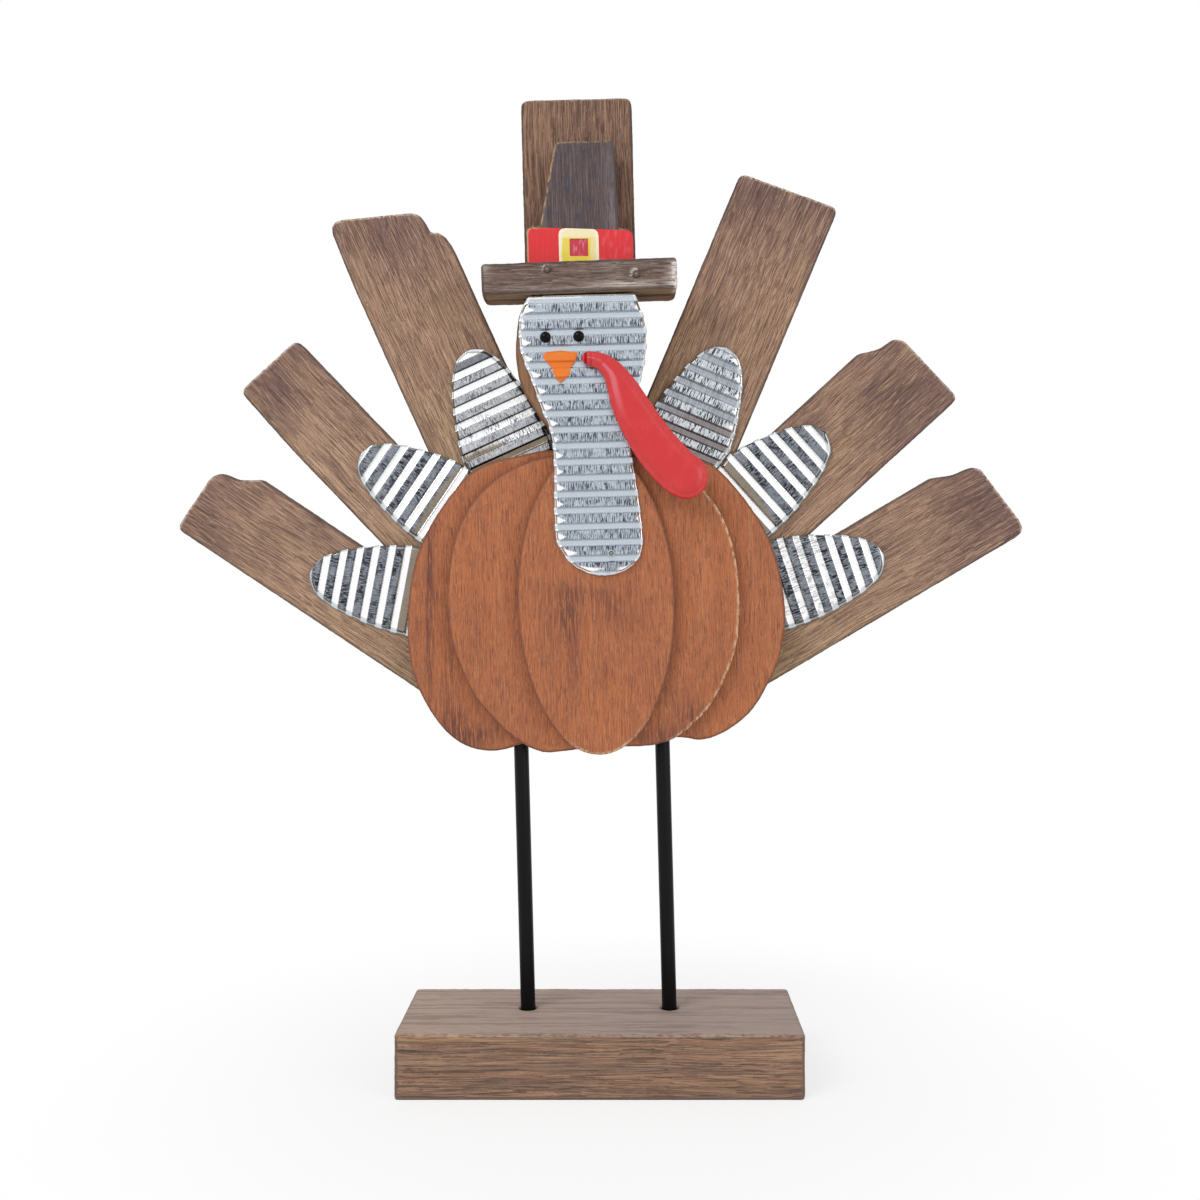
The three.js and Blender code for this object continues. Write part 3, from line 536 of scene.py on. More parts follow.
CENTRE_STAIN = stained_wood(
    "Dark brown stained pine, brushed", "#8b6752",
    [
        (9, 90, 0.44, 0.66, "#6d5042", 0.6),
        (1.2, 60, 0.46, 0.58, "#52392e", 0.72),
        (0.45, 34, 0.5, 0.6, "#ad8669", 0.6),
        (0.35, 6, 0.5, 0.58, "#a8856c", 0.3),
        (0.35, 16, 0.5, 0.6, "#2f211b", 0.75),
    ],
    worn="#a99684", worn_reach=0.9, line="#2e211b", dirty="#3d2f2b",
    tones=[(75, 40, "#664842", 0.6)])

# %% Lay the planks
# How much the stain of each plank has faded.
FADED = {
    "left_lower": 0.6, "left_middle": 0.75, "left_upper": 0.3, "centre": 0.0,
    "right_upper": 0.0, "right_middle": 0.25, "right_lower": 0.5,
}

# The marks of the dark streaks near the tips.
STREAKED = {
    "left_lower": [(0.08, 0.72, 0.1, 0.1, 0.35), (0.42, 0.8, 0.08, 0.06, 0.4)],
    "left_middle": [(0.12, 0.8, 0.08, 0.14, 0.45)],
    "left_upper": [(0.2, 0.93, 0.25, 0.05, 0.35)],
    "centre": [],
    "right_upper": [(0.66, 0.93, 0.25, 0.06, 0.45), (0.45, 0.6, 0.05, 0.15, 0.25)],
    "right_middle": [(0.78, 0.78, 0.13, 0.16, 0.6), (0.5, 0.72, 0.06, 0.1, 0.4)],
    "right_lower": [(0.86, 0.84, 0.14, 0.12, 0.5), (0.6, 0.68, 0.08, 0.08, 0.4)],
}

for plank, faded in FADED.items():
    stain = CENTRE_STAIN if plank == "centre" else PLANK_STAIN
    worn_board(f"tail_plank_{plank}", stain, marks=STREAKED[plank], faded=faded)

# %% [markdown]
# ### The body
# The three body boards are stained an orange brown, with fine upright grain. Dirt has gathered
# under the neck and along the left side of the back board. The right edge of the middle board and
# the foot of the front board were rubbed bare.

# %% Stain the body
UPRIGHT = math.radians(-1.5)

BODY_STAIN = stained_wood(
    "Orange brown stained pine", "#b1673b",
    [
        (26, 80, 0.44, 0.7, "#9b5939", 0.45),
        (5, 70, 0.5, 0.7, "#b7774d", 0.45),
        (0.6, 40, 0.5, 0.64, "#8b513a", 0.4),
        (0.3, 16, 0.5, 0.6, "#7f4a36", 0.6),
        (0.28, 9, 0.5, 0.6, "#874e38", 0.45),
        (0.28, 10, 0.52, 0.62, "#c98a5f", 0.35),
        (0.4, 3, 0.58, 0.64, "#cf9167", 0.28),
        (0.3, 7, 0.57, 0.62, "#522c27", 0.65),
    ],
    worn="#dfc09d", worn_reach=1.3, line="#63382a", side="#6e3d2a", dirty="#5a322a", relief=0.22)

# %% Lay the body boards
# The dirt, and for each board the way in which its rubbed edges face.
BACK_MARKS = [
    (0.06, 0.5, 0.012, 0.34, 0.8), (0.11, 0.3, 0.02, 0.16, 0.35), (0.13, 0.08, 0.05, 0.08, 0.7),
    (0.2, 0.05, 0.06, 0.04, 0.5), (0.03, 0.4, 0.012, 0.2, 0.3),
]
MIDDLE_MARKS = [
    (0.83, 0.11, 0.05, 0.06, 0.75), (0.72, 0.055, 0.06, 0.035, 0.7), (0.93, 0.4, 0.02, 0.2, 0.3),
    (0.1, 0.4, 0.03, 0.12, 0.25),
]
FRONT_MARKS = [
    (0.33, 0.49, 0.07, 0.09, 0.75), (0.36, 0.32, 0.05, 0.12, 0.4), (0.62, 0.5, 0.14, 0.06, 0.4),
    (0.2, 0.4, 0.08, 0.2, 0.2), (0.55, 0.3, 0.05, 0.06, 0.2), (0.45, 0.56, 0.3, 0.03, 0.3),
]

BODY_BOARDS = {
    "pumpkin_back_board": ((0, 0, 0), BACK_MARKS),
    "pumpkin_middle_board": ((1, 0, -0.1), MIDDLE_MARKS),
    "pumpkin_front_board": ((0.1, 0, -0.78), FRONT_MARKS),
}

for node, (rub, marks) in BODY_BOARDS.items():
    worn_board(node, BODY_STAIN, angle=UPRIGHT, rub=rub, marks=marks)

# %% [markdown]
# ### The head board and the hat
# The head board is a lighter brown and shows only as a strip beside the metal. The hat is washed
# grey with a little purple, its brim strip is browner and rubbed nearly white at its right end,
# and the board under the strip stayed bare.

# %% Stain the head board and the hat
LYING = math.pi / 2
SILL = 4

HEAD_STAIN = stained_wood(
    "Light brown stained pine", "#8d6547",
    [
        (10, 60, 0.45, 0.7, "#77543a", 0.6),
        (0.9, 20, 0.5, 0.68, "#553b2b", 0.5),
    ],
    worn="#c19a6c", worn_reach=1.0, line="#4d3626", side="#6a4c36")

HAT_WASH = stained_wood(
    "Grey black washed pine", "#3c363e",
    [
        (11, 80, 0.44, 0.6, "#3d353c", 0.7),
        (1.2, 50, 0.5, 0.62, "#574f58", 0.55),
        (0.5, 30, 0.5, 0.6, "#2e282c", 0.65),
        (0.35, 12, 0.52, 0.6, "#756a6f", 0.45),
    ],
    worn="#b3946f", worn_reach=1.0, line="#393131", side="#5d4a3a", dirty="#786e76",
    bare=(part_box("hat_brim")[0].z + SILL * MM, "#84592f"))

BRIM_WASH = stained_wood(
    "Grey brown washed pine, rubbed", "#634b40",
    [
        (5, 60, 0.45, 0.68, "#554440", 0.6),
        (0.8, 30, 0.5, 0.62, "#79635a", 0.6),
        (0.36, 9, 0.5, 0.6, "#332926", 0.85),
        (0.32, 9, 0.54, 0.62, "#a5978e", 0.45),
    ],
    worn="#ebe5df", worn_reach=2.4, line="#3d3230", side="#8d6c42", side_share=0.9, dirty="#d3c9c0")

# %% Lay the head board and the hat
# Rubbed places of the strip: its right end, and patches along its lower right half.
BRIM_MARKS = [
    (0.99, 0.4, 0.04, 0.5, 0.8), (0.76, 0.3, 0.16, 0.1, 0.5), (0.66, 0.8, 0.06, 0.1, 0.3),
    (0.01, 0.8, 0.03, 0.3, 0.4), (0.45, 0.15, 0.3, 0.08, 0.25),
]

# The right part of the crown is washed paler.
CROWN_MARKS = [(0.68, 0.62, 0.045, 0.5, 0.7)]

worn_board("head_board", HEAD_STAIN, angle=UPRIGHT, rub=(0, 0, 0))
worn_board("hat_board", HAT_WASH, face=0.7, angle=UPRIGHT, rub=(-0.8, 0, 0.6),
           marks=CROWN_MARKS)
worn_board("hat_brim", BRIM_WASH, face=0.6, angle=LYING, rub=(0.9, 0, -0.35),
           marks=BRIM_MARKS)

# %% [markdown]
# ### The base block
# The block is one piece of brown stained softwood with its grain lying down. Its top is drawn
# smoother and greyer than its front, with a golden tint on the left, and its upper edges are
# rubbed. It is softened less than the other boards, because a sawn block keeps its corners.

# %% Stain the base block
BASE_STAIN = stained_wood(
    "Brown stained pine block", "#89654f",
    [
        (9, 90, 0.46, 0.6, "#a0795a", 0.7),
        (1.1, 60, 0.5, 0.58, "#4f4038", 0.6),
        (0.6, 40, 0.5, 0.6, "#b0937b", 0.45),
        (0.35, 10, 0.5, 0.58, "#b4957a", 0.35),
        (0.4, 34, 0.52, 0.59, "#3a2e28", 0.75),
        (3.2, 70, 0.52, 0.62, "#5a4842", 0.42),
    ],
    worn="#cfc1b2", worn_reach=0.9, line="#63504a", side="#a99c9a", side_share=0.6, dirty="#bb9060")

# %% Lay the base block
# The golden places are on the left of the top, and fade along it.
BASE_MARKS = [(0.05, 1.0, 0.14, 0.1, 0.8), (0.3, 1.0, 0.2, 0.05, 0.6), (0.75, 1.0, 0.3, 0.04, 0.3)]

worn_board("base_block", BASE_STAIN, soft=1, angle=LYING, rub=(0, 0, 0.55),
           marks=BASE_MARKS)

# %% [markdown]
# ## Corrugated sheet
# The feathers and the head are cut from thin galvanised sheet with pressed ribs. The press closes
# the end of every rib, so the rim lies flat. A boolean of a wavy sheet and an outline would leave
# the ribs open, so this one is made another way: a grid is added, its rows are laid across the
# piece from one side of its outline to the other, and one formula lifts the ribs and lets them
# fall to the rim. Solidify then gives the sheet its gauge.

# %% Measure a sheet's ribs
PITCH = 6.82
RIDGE_TOP = 0.05


class Ribs:
    """The ribs of one sheet: their direction, their phase and the depth of the sheet's back."""

    def __init__(self, node):
        plain = merged_copy(node, f"{node}_plain")
        edges = [(a, b) for a, b, _ in sharp_edges(plain) if abs(a.y - b.y) < TOUCHING]
        start, end = max(edges, key=lambda ends: (ends[1] - ends[0]).length)
        run = end - start if end.x > start.x else start - end
        self.run = np.array([run.x, run.z]) / math.hypot(run.x, run.z)
        self.rise = np.array([-self.run[1], self.run[0]])
        self.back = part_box(node)[1].y / MM
        points = corners(plain) / MM
        flat = self.flatten(points)
        ridges = flat[points[:, 1] < points[:, 1].min() + RIDGE_TOP, 1]
        turns = np.exp(2j * math.pi * ridges / PITCH)
        self.phase = np.angle(turns.mean()) * PITCH / (2 * math.pi)
        bpy.data.objects.remove(plain)

    def flatten(self, points):
        """Places along and across the ribs."""
        plane = points[:, [0, 2]]
        return np.column_stack([plane @ self.run, plane @ self.rise])

    def offset(self, across):
        """How far a place lies above the middle of its nearest ridge."""
        return (across - self.phase + PITCH / 2) % PITCH - PITCH / 2


# %% [markdown]
# A piece that is cut from a sheet, or painted on it, is one grid. Each row of the grid ends on the
# outline of its node, which is read from the edges of the node's own mesh.

# %% Lay a grid over an outline
ROWS_A_PITCH = 20
RIM_SHARE = 1e-4


def outline_spans(node, ribs, trim):
    """Finds the left and right end of the outline at a level across the ribs."""
    plain = merged_copy(node, f"{node}_outline")
    flat = ribs.flatten(corners(plain) / MM)
    sides = flat[np.array([edge.vertices[:] for edge in plain.data.edges])]
    bpy.data.objects.remove(plain)

    def span(level):
        start, end = sides[:, 0], sides[:, 1]
        cross = (start[:, 1] <= level) != (end[:, 1] <= level)
        start, end = start[cross], end[cross]
        share = (level - start[:, 1]) / (end[:, 1] - start[:, 1])
        reach = start[:, 0] + share * (end[:, 0] - start[:, 0])
        return reach.min(), reach.max()

    return flat[:, 1].min() + trim, flat[:, 1].max() - trim, span


def lay_grid(name, node, ribs, columns, trim=0.12):
    """A grid whose rows run from side to side of the node's outline, and its flat places."""
    low, high, span = outline_spans(node, ribs, trim)
    rows = int((high - low) / PITCH * ROWS_A_PITCH)
    bpy.ops.object.select_all(action="DESELECT")
    bpy.ops.mesh.primitive_grid_add(x_subdivisions=columns, y_subdivisions=rows, size=1)
    piece = bpy.context.object
    piece.name = name
    unit = corners(piece) + 0.5
    levels = low + unit[:, 1] * (high - low)
    spans = {level: span(level) for level in np.unique(levels)}
    left, right = np.array([spans[level] for level in levels]).T
    return piece, np.column_stack([left + unit[:, 0] * (right - left), levels]), unit


# %% Measure a grid's rim, stand it up and thicken it
SHEET_CREASE = math.radians(50)


def rim_distance(flat, unit):
    """The distance in millimetres from each place of a grid to the grid's own rim."""
    on_rim = np.any((unit < RIM_SHARE) | (unit > 1 - RIM_SHARE), axis=1, where=[True, True, False])
    tree = kdtree.KDTree(int(on_rim.sum()))
    for index, (along, across) in enumerate(flat[on_rim]):
        tree.insert((along, across, 0), index)
    tree.balance()
    return np.array([tree.find((along, across, 0))[2] for along, across in flat])


def stand_up(piece, ribs, flat, depth):
    """Stands flat places up in the figure, at a depth that may differ from place to place."""
    plane = np.outer(flat[:, 0], ribs.run) + np.outer(flat[:, 1], ribs.rise)
    move_corners(piece, np.column_stack([plane[:, 0], depth, plane[:, 1]]) * MM)


def thicken(piece, gauge):
    """Joins the grid, turns its faces to the front and gives it its thickness."""
    edit(piece, "SELECT")
    bpy.ops.mesh.remove_doubles(threshold=TOUCHING)
    bpy.ops.mesh.normals_make_consistent(inside=False)
    close_edit()
    if np.mean([face.normal.y for face in piece.data.polygons]) > 0:
        piece.data.flip_normals()
    modify(piece, "SOLIDIFY", thickness=gauge * MM, offset=-1)
    select_only(piece)
    bpy.ops.object.shade_smooth_by_angle(angle=SHEET_CREASE)


# %% [markdown]
# The ribs stand 2 mm proud. Their ends fall to the rim within a millimetre or two, and on one
# side of a feather the press left a wider rim. On the head and on one feather the ribs' ends also
# have small painted glints, white flags where the ends catch the light, and dents show that the
# sheet was handled.

# %% Shape the ribs, the dents and the painted glints
GAUGE = 0.4
SHEET_DEPTH = 2.4
BEND = 0.7
DENT = 0.15
DENT_SIZE = 9
DIMPLE_DEPTH = 0.5
DIMPLE_RADIUS = 1.8

# How long the painted glints are, how far they lie below the middle of their rib, and how wide they are.
GLINT_LENGTHS = (0.55, 1.1)
GLINT_DROP_SHARE = 0.35
GLINT_WIDTH_SHARE = 1.2
GLINT_EDGE = (-0.1, 0.4)


def rib_lift(offset, share):
    """How far the profile is up, from 0 in a valley to 1 on a ridge."""
    half = PITCH * share / 2
    return soft_step(-np.abs(offset), -half - BEND / 2, -half + BEND / 2)


def sheet_depth(ribs, flat, lift, rise, dimples):
    """The depth of each place: the rise of the ribs, the dents, and the dimples at nails."""
    dents = np.array([noise.noise((along / DENT_SIZE, across / DENT_SIZE, ribs.phase))
                      for along, across in flat])
    depth = ribs.back - GAUGE - (SHEET_DEPTH - GAUGE - DENT) * lift * rise - DENT * np.abs(dents) * rise
    for place in dimples:
        from_nail = np.linalg.norm(flat - ribs.flatten(np.array([place]) / MM), axis=1)
        depth += DIMPLE_DEPTH * np.exp(-(from_nail / DIMPLE_RADIUS) ** 2) * lift * rise
    return depth


def painted_glints(ribs, flat, unit, rim, share, reach):
    """White glints painted at the left and right ends of the ribs, each with its own length."""
    offset = ribs.offset(flat[:, 1])
    rib = np.round((flat[:, 1] - offset - ribs.phase) / PITCH).astype(int)
    first, last = rib.min(), rib.max()
    lengths = RNG.uniform(*GLINT_LENGTHS, (2, last - first + 1)) * np.array([reach]).T
    side = (unit[:, 0] > 0.5).astype(int)
    half = PITCH * share / 2
    taper = 1 - np.abs(offset + GLINT_DROP_SHARE * half) / (GLINT_WIDTH_SHARE * half)
    return soft_step(lengths[side, rib - first] * taper - rim, *GLINT_EDGE)


# %% [markdown]
# Next to the body the metal would mirror its boards, and that reflection is painted, so each place
# of a sheet also stores how far it lies from the edge of the back board, as it is seen from the front.

# %% Press a sheet
SEEN_FROM_FRONT = (1, 0, 1)
SCALLOP = 0.35
SCALLOP_POWER = 8
SIDE_BLEND = (0.35, 0.65)
RIM_FOOT_SHARE = 0.25
SHADE_EDGE = 0.5
SHEET_SHIFT = 200

body_outline = merged_copy("pumpkin_back_board", "body_outline")
BODY_EDGES = sharp_edges(body_outline)
bpy.data.objects.remove(body_outline)


def pressed_sheet(node, material, share, columns, rims, painted_glint=(0, 0), dimples=(), shaded=0):
    """One sheet with closed ribs and a flat rim, whose width differs from its upper to its lower
    side. A dimple is the place of a nail that pulled the sheet in, and shaded is how many
    millimetres at its far end lie in the dark."""
    ribs = Ribs(node)
    piece, flat, unit = lay_grid(f"{node}_pressed", node, ribs, columns)
    rim = rim_distance(flat, unit)
    offset = ribs.offset(flat[:, 1])
    lift = rib_lift(offset, share)
    lower = 1 - unit[:, 0] if ribs.run[1] > 0 else unit[:, 0]
    width = rims[0] + (rims[1] - rims[0]) * soft_step(lower, *SIDE_BLEND)
    rise = soft_step(rim, RIM_FOOT_SHARE * width, width)
    from_middle = unit[:, 0] - 0.5
    flat[:, 0] -= SCALLOP * lift * np.sign(from_middle) * np.abs(2 * from_middle) ** SCALLOP_POWER
    stand_up(piece, ribs, flat, sheet_depth(ribs, flat, lift, rise, dimples))
    from_end = flat[:, 1].max() - flat[:, 1]
    store(piece, "rib", lift)
    store(piece, "rim", rim / width)
    store(piece, "painted_glint", painted_glints(ribs, flat, unit, rim, share, painted_glint))
    store(piece, "shade", soft_step(-from_end, -shaded, SHADE_EDGE - shaded))
    store(piece, "body", measure_edges(corners(piece), BODY_EDGES, SEEN_FROM_FRONT)[0])
    grain = np.column_stack([flat[:, 0], np.zeros(len(flat)), flat[:, 1]])
    store(piece, "grain", grain + RNG.uniform(-SHEET_SHIFT, SHEET_SHIFT, 3))
    thicken(piece, GAUGE)
    settle(piece, node, material)
    return ribs


# %% [markdown]
# ## Galvanised steel
# Hot dipped zinc freezes in flakes, the spangle, and the press smears them into short streaks
# across each rib. The valleys stay smooth and the ribs are dull and mottled. Their colours carry
# painted reflections: bright valleys for the pale room on the outer feathers, and near the body a
# painted brown reflection of the stained board. It is a metal, so metallic is 1 and the IOR stays
# at its default, and its colour is what it reflects.
# The thinnest streaks are drawn about 0.4 mm wide, which is as fine as the picture can show.

# %% Name what the sheets share
ZINC_RELIEF = 0.12
FLAKE_DEPTH = 0.2 * MM
# The white of the painted glints at the ends of the ribs.
GLINT_WHITE = "#fcfdfe"
# The colour of the painted shadow along each sheet's cut edge.
CUT_EDGE_SHADOW = "#5b6065"

# The grit is a pattern: width, length, and where its mask starts and is full. The dashes lie in
# clusters, which are streaks of this width and length. The grit is also duller than the rest.
GRIT = (0.4, 1.6, 0.45, 0.58)
CLUSTER_SIZE = (6, 5)
DULLNESS = {3: 0.24, 4: 0.4}

# Ramps over the height of a rib, and over the distance from the rim in widths of the rim.
ON_RIB = {1: 0.3, 2: 0.7}
FLANK_FOOT = {1: 0.05, 2: 0.35}
FLANK_TOP = {1: 0.95, 2: 0.65}
FLAT_RIM = {1: 0.75, 2: 0.45}
RIB_FALLS = {1: 1.25, 2: 0.85}
PAST_RIM = {1: 0.4, 2: 0.7}
AT_CUT_SHADOW = {1: 0.3, 2: 0.1}

# %% Colour the ribs and the valleys


def rib_colour(tree, shade, grit, dashes, rib, fleck, dash):
    """A dull rib with pale flecks and dark dashes, and dark as a whole where it lies in shade."""
    colour = coat(tree, linear(rib), grit, 0.5, fleck)
    colour = coat(tree, colour, shade, 0.75, dash)
    return coat(tree, colour, dashes, 0.95, dash)


def valley_colour(tree, body, dashes, valley, dash, smear):
    """A bright valley, with dashes near the body where the zinc was smeared."""
    if not smear:
        return linear(valley)
    strength, reach = smear
    smeared = add(tree, "ShaderNodeMapRange", {0: body, 1: reach, 2: 0.6 * reach, 4: strength}, **SMOOTH)
    return coat(tree, linear(valley), dashes, smeared, dash)


def painted_flank_lines(tree, colour, lift, code, strength):
    """A painted line of light or shade along both flanks of each rib."""
    up = add(tree, "ShaderNodeMapRange", {0: lift, **FLANK_FOOT}, **SMOOTH)
    not_top = add(tree, "ShaderNodeMapRange", {0: lift, **FLANK_TOP}, **SMOOTH)
    flank = add(tree, "ShaderNodeMath", {0: up, 1: not_top}, operation="MULTIPLY")
    return coat(tree, colour, flank, strength, code)


def painted_body_reflection(tree, colour, body, raised, code, reach, on_ribs, in_valleys):
    """A painted reflection: the brown that the metal would mirror beside the body, on its ribs and in
    its valleys.
    """
    near = add(tree, "ShaderNodeMapRange", {0: body, 1: reach, 2: 0.7 * reach}, **SMOOTH)
    mirrors = add(tree, "ShaderNodeMapRange", {0: raised, 3: in_valleys, 4: on_ribs})
    return coat(tree, colour, near, mirrors, code)


# %% Colour the rim and the ends of the ribs


def rim_colour(tree, colour, from_rim, painted_glint, rim, end):
    """The flat rim, painted light or shade where the ribs fall to it, painted glints at their ends, and
    painted shadow along the cut edge.
    """
    rim_code, rim_strength = rim
    end_light_code, end_light_strength = end
    flat = add(tree, "ShaderNodeMapRange", {0: from_rim, **FLAT_RIM}, **SMOOTH)
    colour = coat(tree, colour, flat, rim_strength, rim_code)
    # Painted light or shade where the ribs fall to the rim.
    falls = add(tree, "ShaderNodeMapRange", {0: from_rim, **RIB_FALLS}, **SMOOTH)
    past = add(tree, "ShaderNodeMapRange", {0: from_rim, **PAST_RIM}, **SMOOTH)
    rib_end_light = add(tree, "ShaderNodeMath", {0: falls, 1: past}, operation="MULTIPLY")
    colour = coat(tree, colour, rib_end_light, end_light_strength, end_light_code)
    # Painted glints at the ends of the ribs.
    colour = coat(tree, colour, painted_glint, 0.95, GLINT_WHITE)
    # Painted shadow along the cut edge.
    cut = add(tree, "ShaderNodeMapRange", {0: from_rim, **AT_CUT_SHADOW}, **SMOOTH)
    return coat(tree, colour, cut, 0.75, CUT_EDGE_SHADOW)


# %% Build the galvanised finish


def galvanised(name, valley, rib, dash, fleck, dashes, clusters=(0.35, 0.6), line=None, smear=None,
               rim=("#c3cdd0", 0.8), end=("#fbfcfd", 0.4), brown=None):
    """Dashes are their width, length, low and high. Line, rim and end are a colour and its
    strength; line is painted light or shade along the flanks of the ribs, and end is painted light
    or shade where the ribs fall to the rim. Smear is the dashes' strength in the valleys and how far
    it reaches from the body. Brown is a painted reflection of the body: a colour, its reach from the
    body, and its strength on ribs and in valleys."""
    material, tree, shader = surface(name, Metallic=1)
    place = add(tree, "ShaderNodeAttribute", attribute_name="grain").outputs["Vector"]
    stored = {value: add(tree, "ShaderNodeAttribute", attribute_name=value).outputs["Fac"]
              for value in ("rib", "rim", "painted_glint", "shade", "body")}
    flakes = streaks(tree, place, *dashes, detail=1)
    grit = streaks(tree, place, *GRIT)
    patches = streaks(tree, place, *CLUSTER_SIZE, *clusters)
    clustered = add(tree, "ShaderNodeMath", {0: flakes, 1: patches}, operation="MULTIPLY")

    on_rib = rib_colour(tree, stored["shade"], grit, clustered, rib, fleck, dash)
    in_valley = valley_colour(tree, stored["body"], clustered, valley, dash, smear)
    raised = add(tree, "ShaderNodeMapRange", {0: stored["rib"], **ON_RIB}, **SMOOTH)
    colour = add(tree, "ShaderNodeMix", {0: raised, 6: in_valley, 7: on_rib}, data_type="RGBA")
    # Painted light or shade along the flanks of the ribs.
    if line:
        colour = painted_flank_lines(tree, colour, stored["rib"], *line)
    # A painted reflection of the body in brown.
    if brown:
        colour = painted_body_reflection(tree, colour, stored["body"], raised, *brown)
    colour = rim_colour(tree, colour, stored["rim"], stored["painted_glint"], rim, end)
    dull = add(tree, "ShaderNodeMapRange", {0: grit, **DULLNESS})
    tree.links.new(dull.outputs[0], shader.inputs["Roughness"])
    finish(tree, shader, colour, flakes, ZINC_RELIEF, FLAKE_DEPTH)
    return material


# %% [markdown]
# The four outer feathers get painted reflections: white in their valleys for the room and dark on
# their ribs for the lens, and the lower right one is smeared near the body. The two inner ones and
# the head are duller, with weaker painted reflections. On the head the zinc is smeared most, in
# dark dashes that run across each rib.

# %% Finish the sheets
# The valleys and ribs of these finishes carry painted reflections, and brown is a painted reflection of
# the body beside them.
BRIGHT_ZINC = galvanised(
    "Galvanised steel, bright", valley="#fdfdfd", rib="#7b7f87", dash="#24272d", fleck="#a3a8b0",
    dashes=(0.55, 2.2, 0.4, 0.54), end=("#9a9fa5", 0.5), brown=("#918575", 7.5, 0.85, 0.0))
STREAKY_ZINC = galvanised(
    "Galvanised steel, bright and smeared", valley="#fdfdfd", rib="#7b7f87", dash="#24272d",
    fleck="#a3a8b0", dashes=(0.5, 2.6, 0.46, 0.54), clusters=(0.35, 0.55), smear=(0.45, 30),
    end=("#9a9fa5", 0.5))
PALE_ZINC = galvanised(
    "Galvanised steel, pale", valley="#fbfcfd", rib="#adafb4", dash="#6b6e74", fleck="#dadde0",
    dashes=(0.42, 1.8, 0.5, 0.56), line=("#1c1e22", 0.95), smear=(0.9, 27), rim=("#c3cdd0", 0.5),
    end=("#4c4a48", 0.6), brown=("#6f5f48", 9.5, 0.0, 0.9))
DULL_ZINC = galvanised(
    "Galvanised steel, dull", valley="#adb2ba", rib="#c6ccd3", dash="#33373d", fleck="#f3f5f7",
    dashes=(0.42, 3.6, 0.48, 0.54), clusters=(0.3, 0.5), line=("#f4f6f8", 0.8), smear=(0.3, 90),
    rim=("#c3cdd0", 0.5), brown=("#77655b", 23, 0.0, 0.6))
HEAD_ZINC = galvanised(
    "Galvanised steel, smeared", valley="#c2c9d1", rib="#adb5bf", dash="#3d434b", fleck="#d6dce3",
    dashes=(0.36, 3.6, 0.48, 0.56), clusters=(0.3, 0.5), line=("#d9dfe5", 0.85),
    rim=("#d5dbe0", 0.6), end=("#e4e8ec", 0.6))

# %% Make the sheets
# The share of the pitch that a rib takes up, and the widths of the rim on its two sides.
FEATHER_RIB_SHARE = 0.56
PALE_RIB_SHARE = 0.55
HEAD_RIB_SHARE = 0.6
OUTER_RIMS = (0.8, 2.1)
LEFT_RIMS = (1.8, 0.9)
RIGHT_RIMS = (0.9, 1.8)
HEAD_RIMS = (1.1, 1.3)
FEATHER_COLUMNS = 60
HEAD_COLUMNS = 90

for feather in ("left_lower", "left_middle", "right_middle", "right_lower"):
    zinc = STREAKY_ZINC if feather == "right_lower" else BRIGHT_ZINC
    pressed_sheet(f"metal_feather_{feather}", zinc, FEATHER_RIB_SHARE,
                  FEATHER_COLUMNS, OUTER_RIMS)
pressed_sheet("metal_feather_left_upper", PALE_ZINC, PALE_RIB_SHARE,
              FEATHER_COLUMNS, LEFT_RIMS, shaded=11)
pressed_sheet("metal_feather_right_upper", DULL_ZINC, FEATHER_RIB_SHARE,
              FEATHER_COLUMNS, RIGHT_RIMS, painted_glint=(0, 4))

nail_low, nail_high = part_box("neck_nail")
head_ribs = pressed_sheet("head_sheet", HEAD_ZINC, HEAD_RIB_SHARE,
                          HEAD_COLUMNS, HEAD_RIMS, painted_glint=(5.2, 2.4),
                          dimples=[tuple((nail_low + nail_high) / 2)])

# %% [markdown]
# ## Enamel, beads and rods
# The hat band, the buckle and the beak are brushed enamel: a skin with an IOR of about 1.5, a
# little darker where it lies thick and paler where the brush dragged. The snood was dipped. The
# eyes are drops of black enamel, and the rods are steel under satin black paint.

# %% Build the paints
PAINT_IOR = 1.5
STROKE_DEPTH = 0.1 * MM

# What a painted piece may store, with the colour that shows there.
PAINT_MASKS = {"bare": "#b98f66", "cream": "#f3ead2", "crimson": "#bf2f45", "pink": "#e5899a"}


def enamel(name, ground, thick, thin, roughness, across=5, along=0.8, relief=0.25, gloss=0.5):
    """Brushed enamel, whose brush strokes have a width across and along them in millimetres."""
    material, tree, shader = surface(name, Roughness=roughness, IOR=PAINT_IOR,
                                     Specular_IOR_Level=gloss)
    place = add(tree, "ShaderNodeTexCoord").outputs["Object"]
    millimetres = add(tree, "ShaderNodeMapping",
                      {"Vector": place, "Scale": (1 / MM, 1 / MM, 1 / MM)})
    heavy = streaks(tree, millimetres, across, along, 0.5, 0.72)
    light = streaks(tree, millimetres, across, along * 2, 0.5, 0.35)
    colour = coat(tree, linear(ground), heavy, 0.5, thick)
    colour = coat(tree, colour, light, 0.5, thin)
    for stored, code in PAINT_MASKS.items():
        mask = add(tree, "ShaderNodeAttribute", attribute_name=stored).outputs["Fac"]
        colour = coat(tree, colour, mask, 0.95, code)
    finish(tree, shader, colour, heavy, relief, STROKE_DEPTH)
    return material


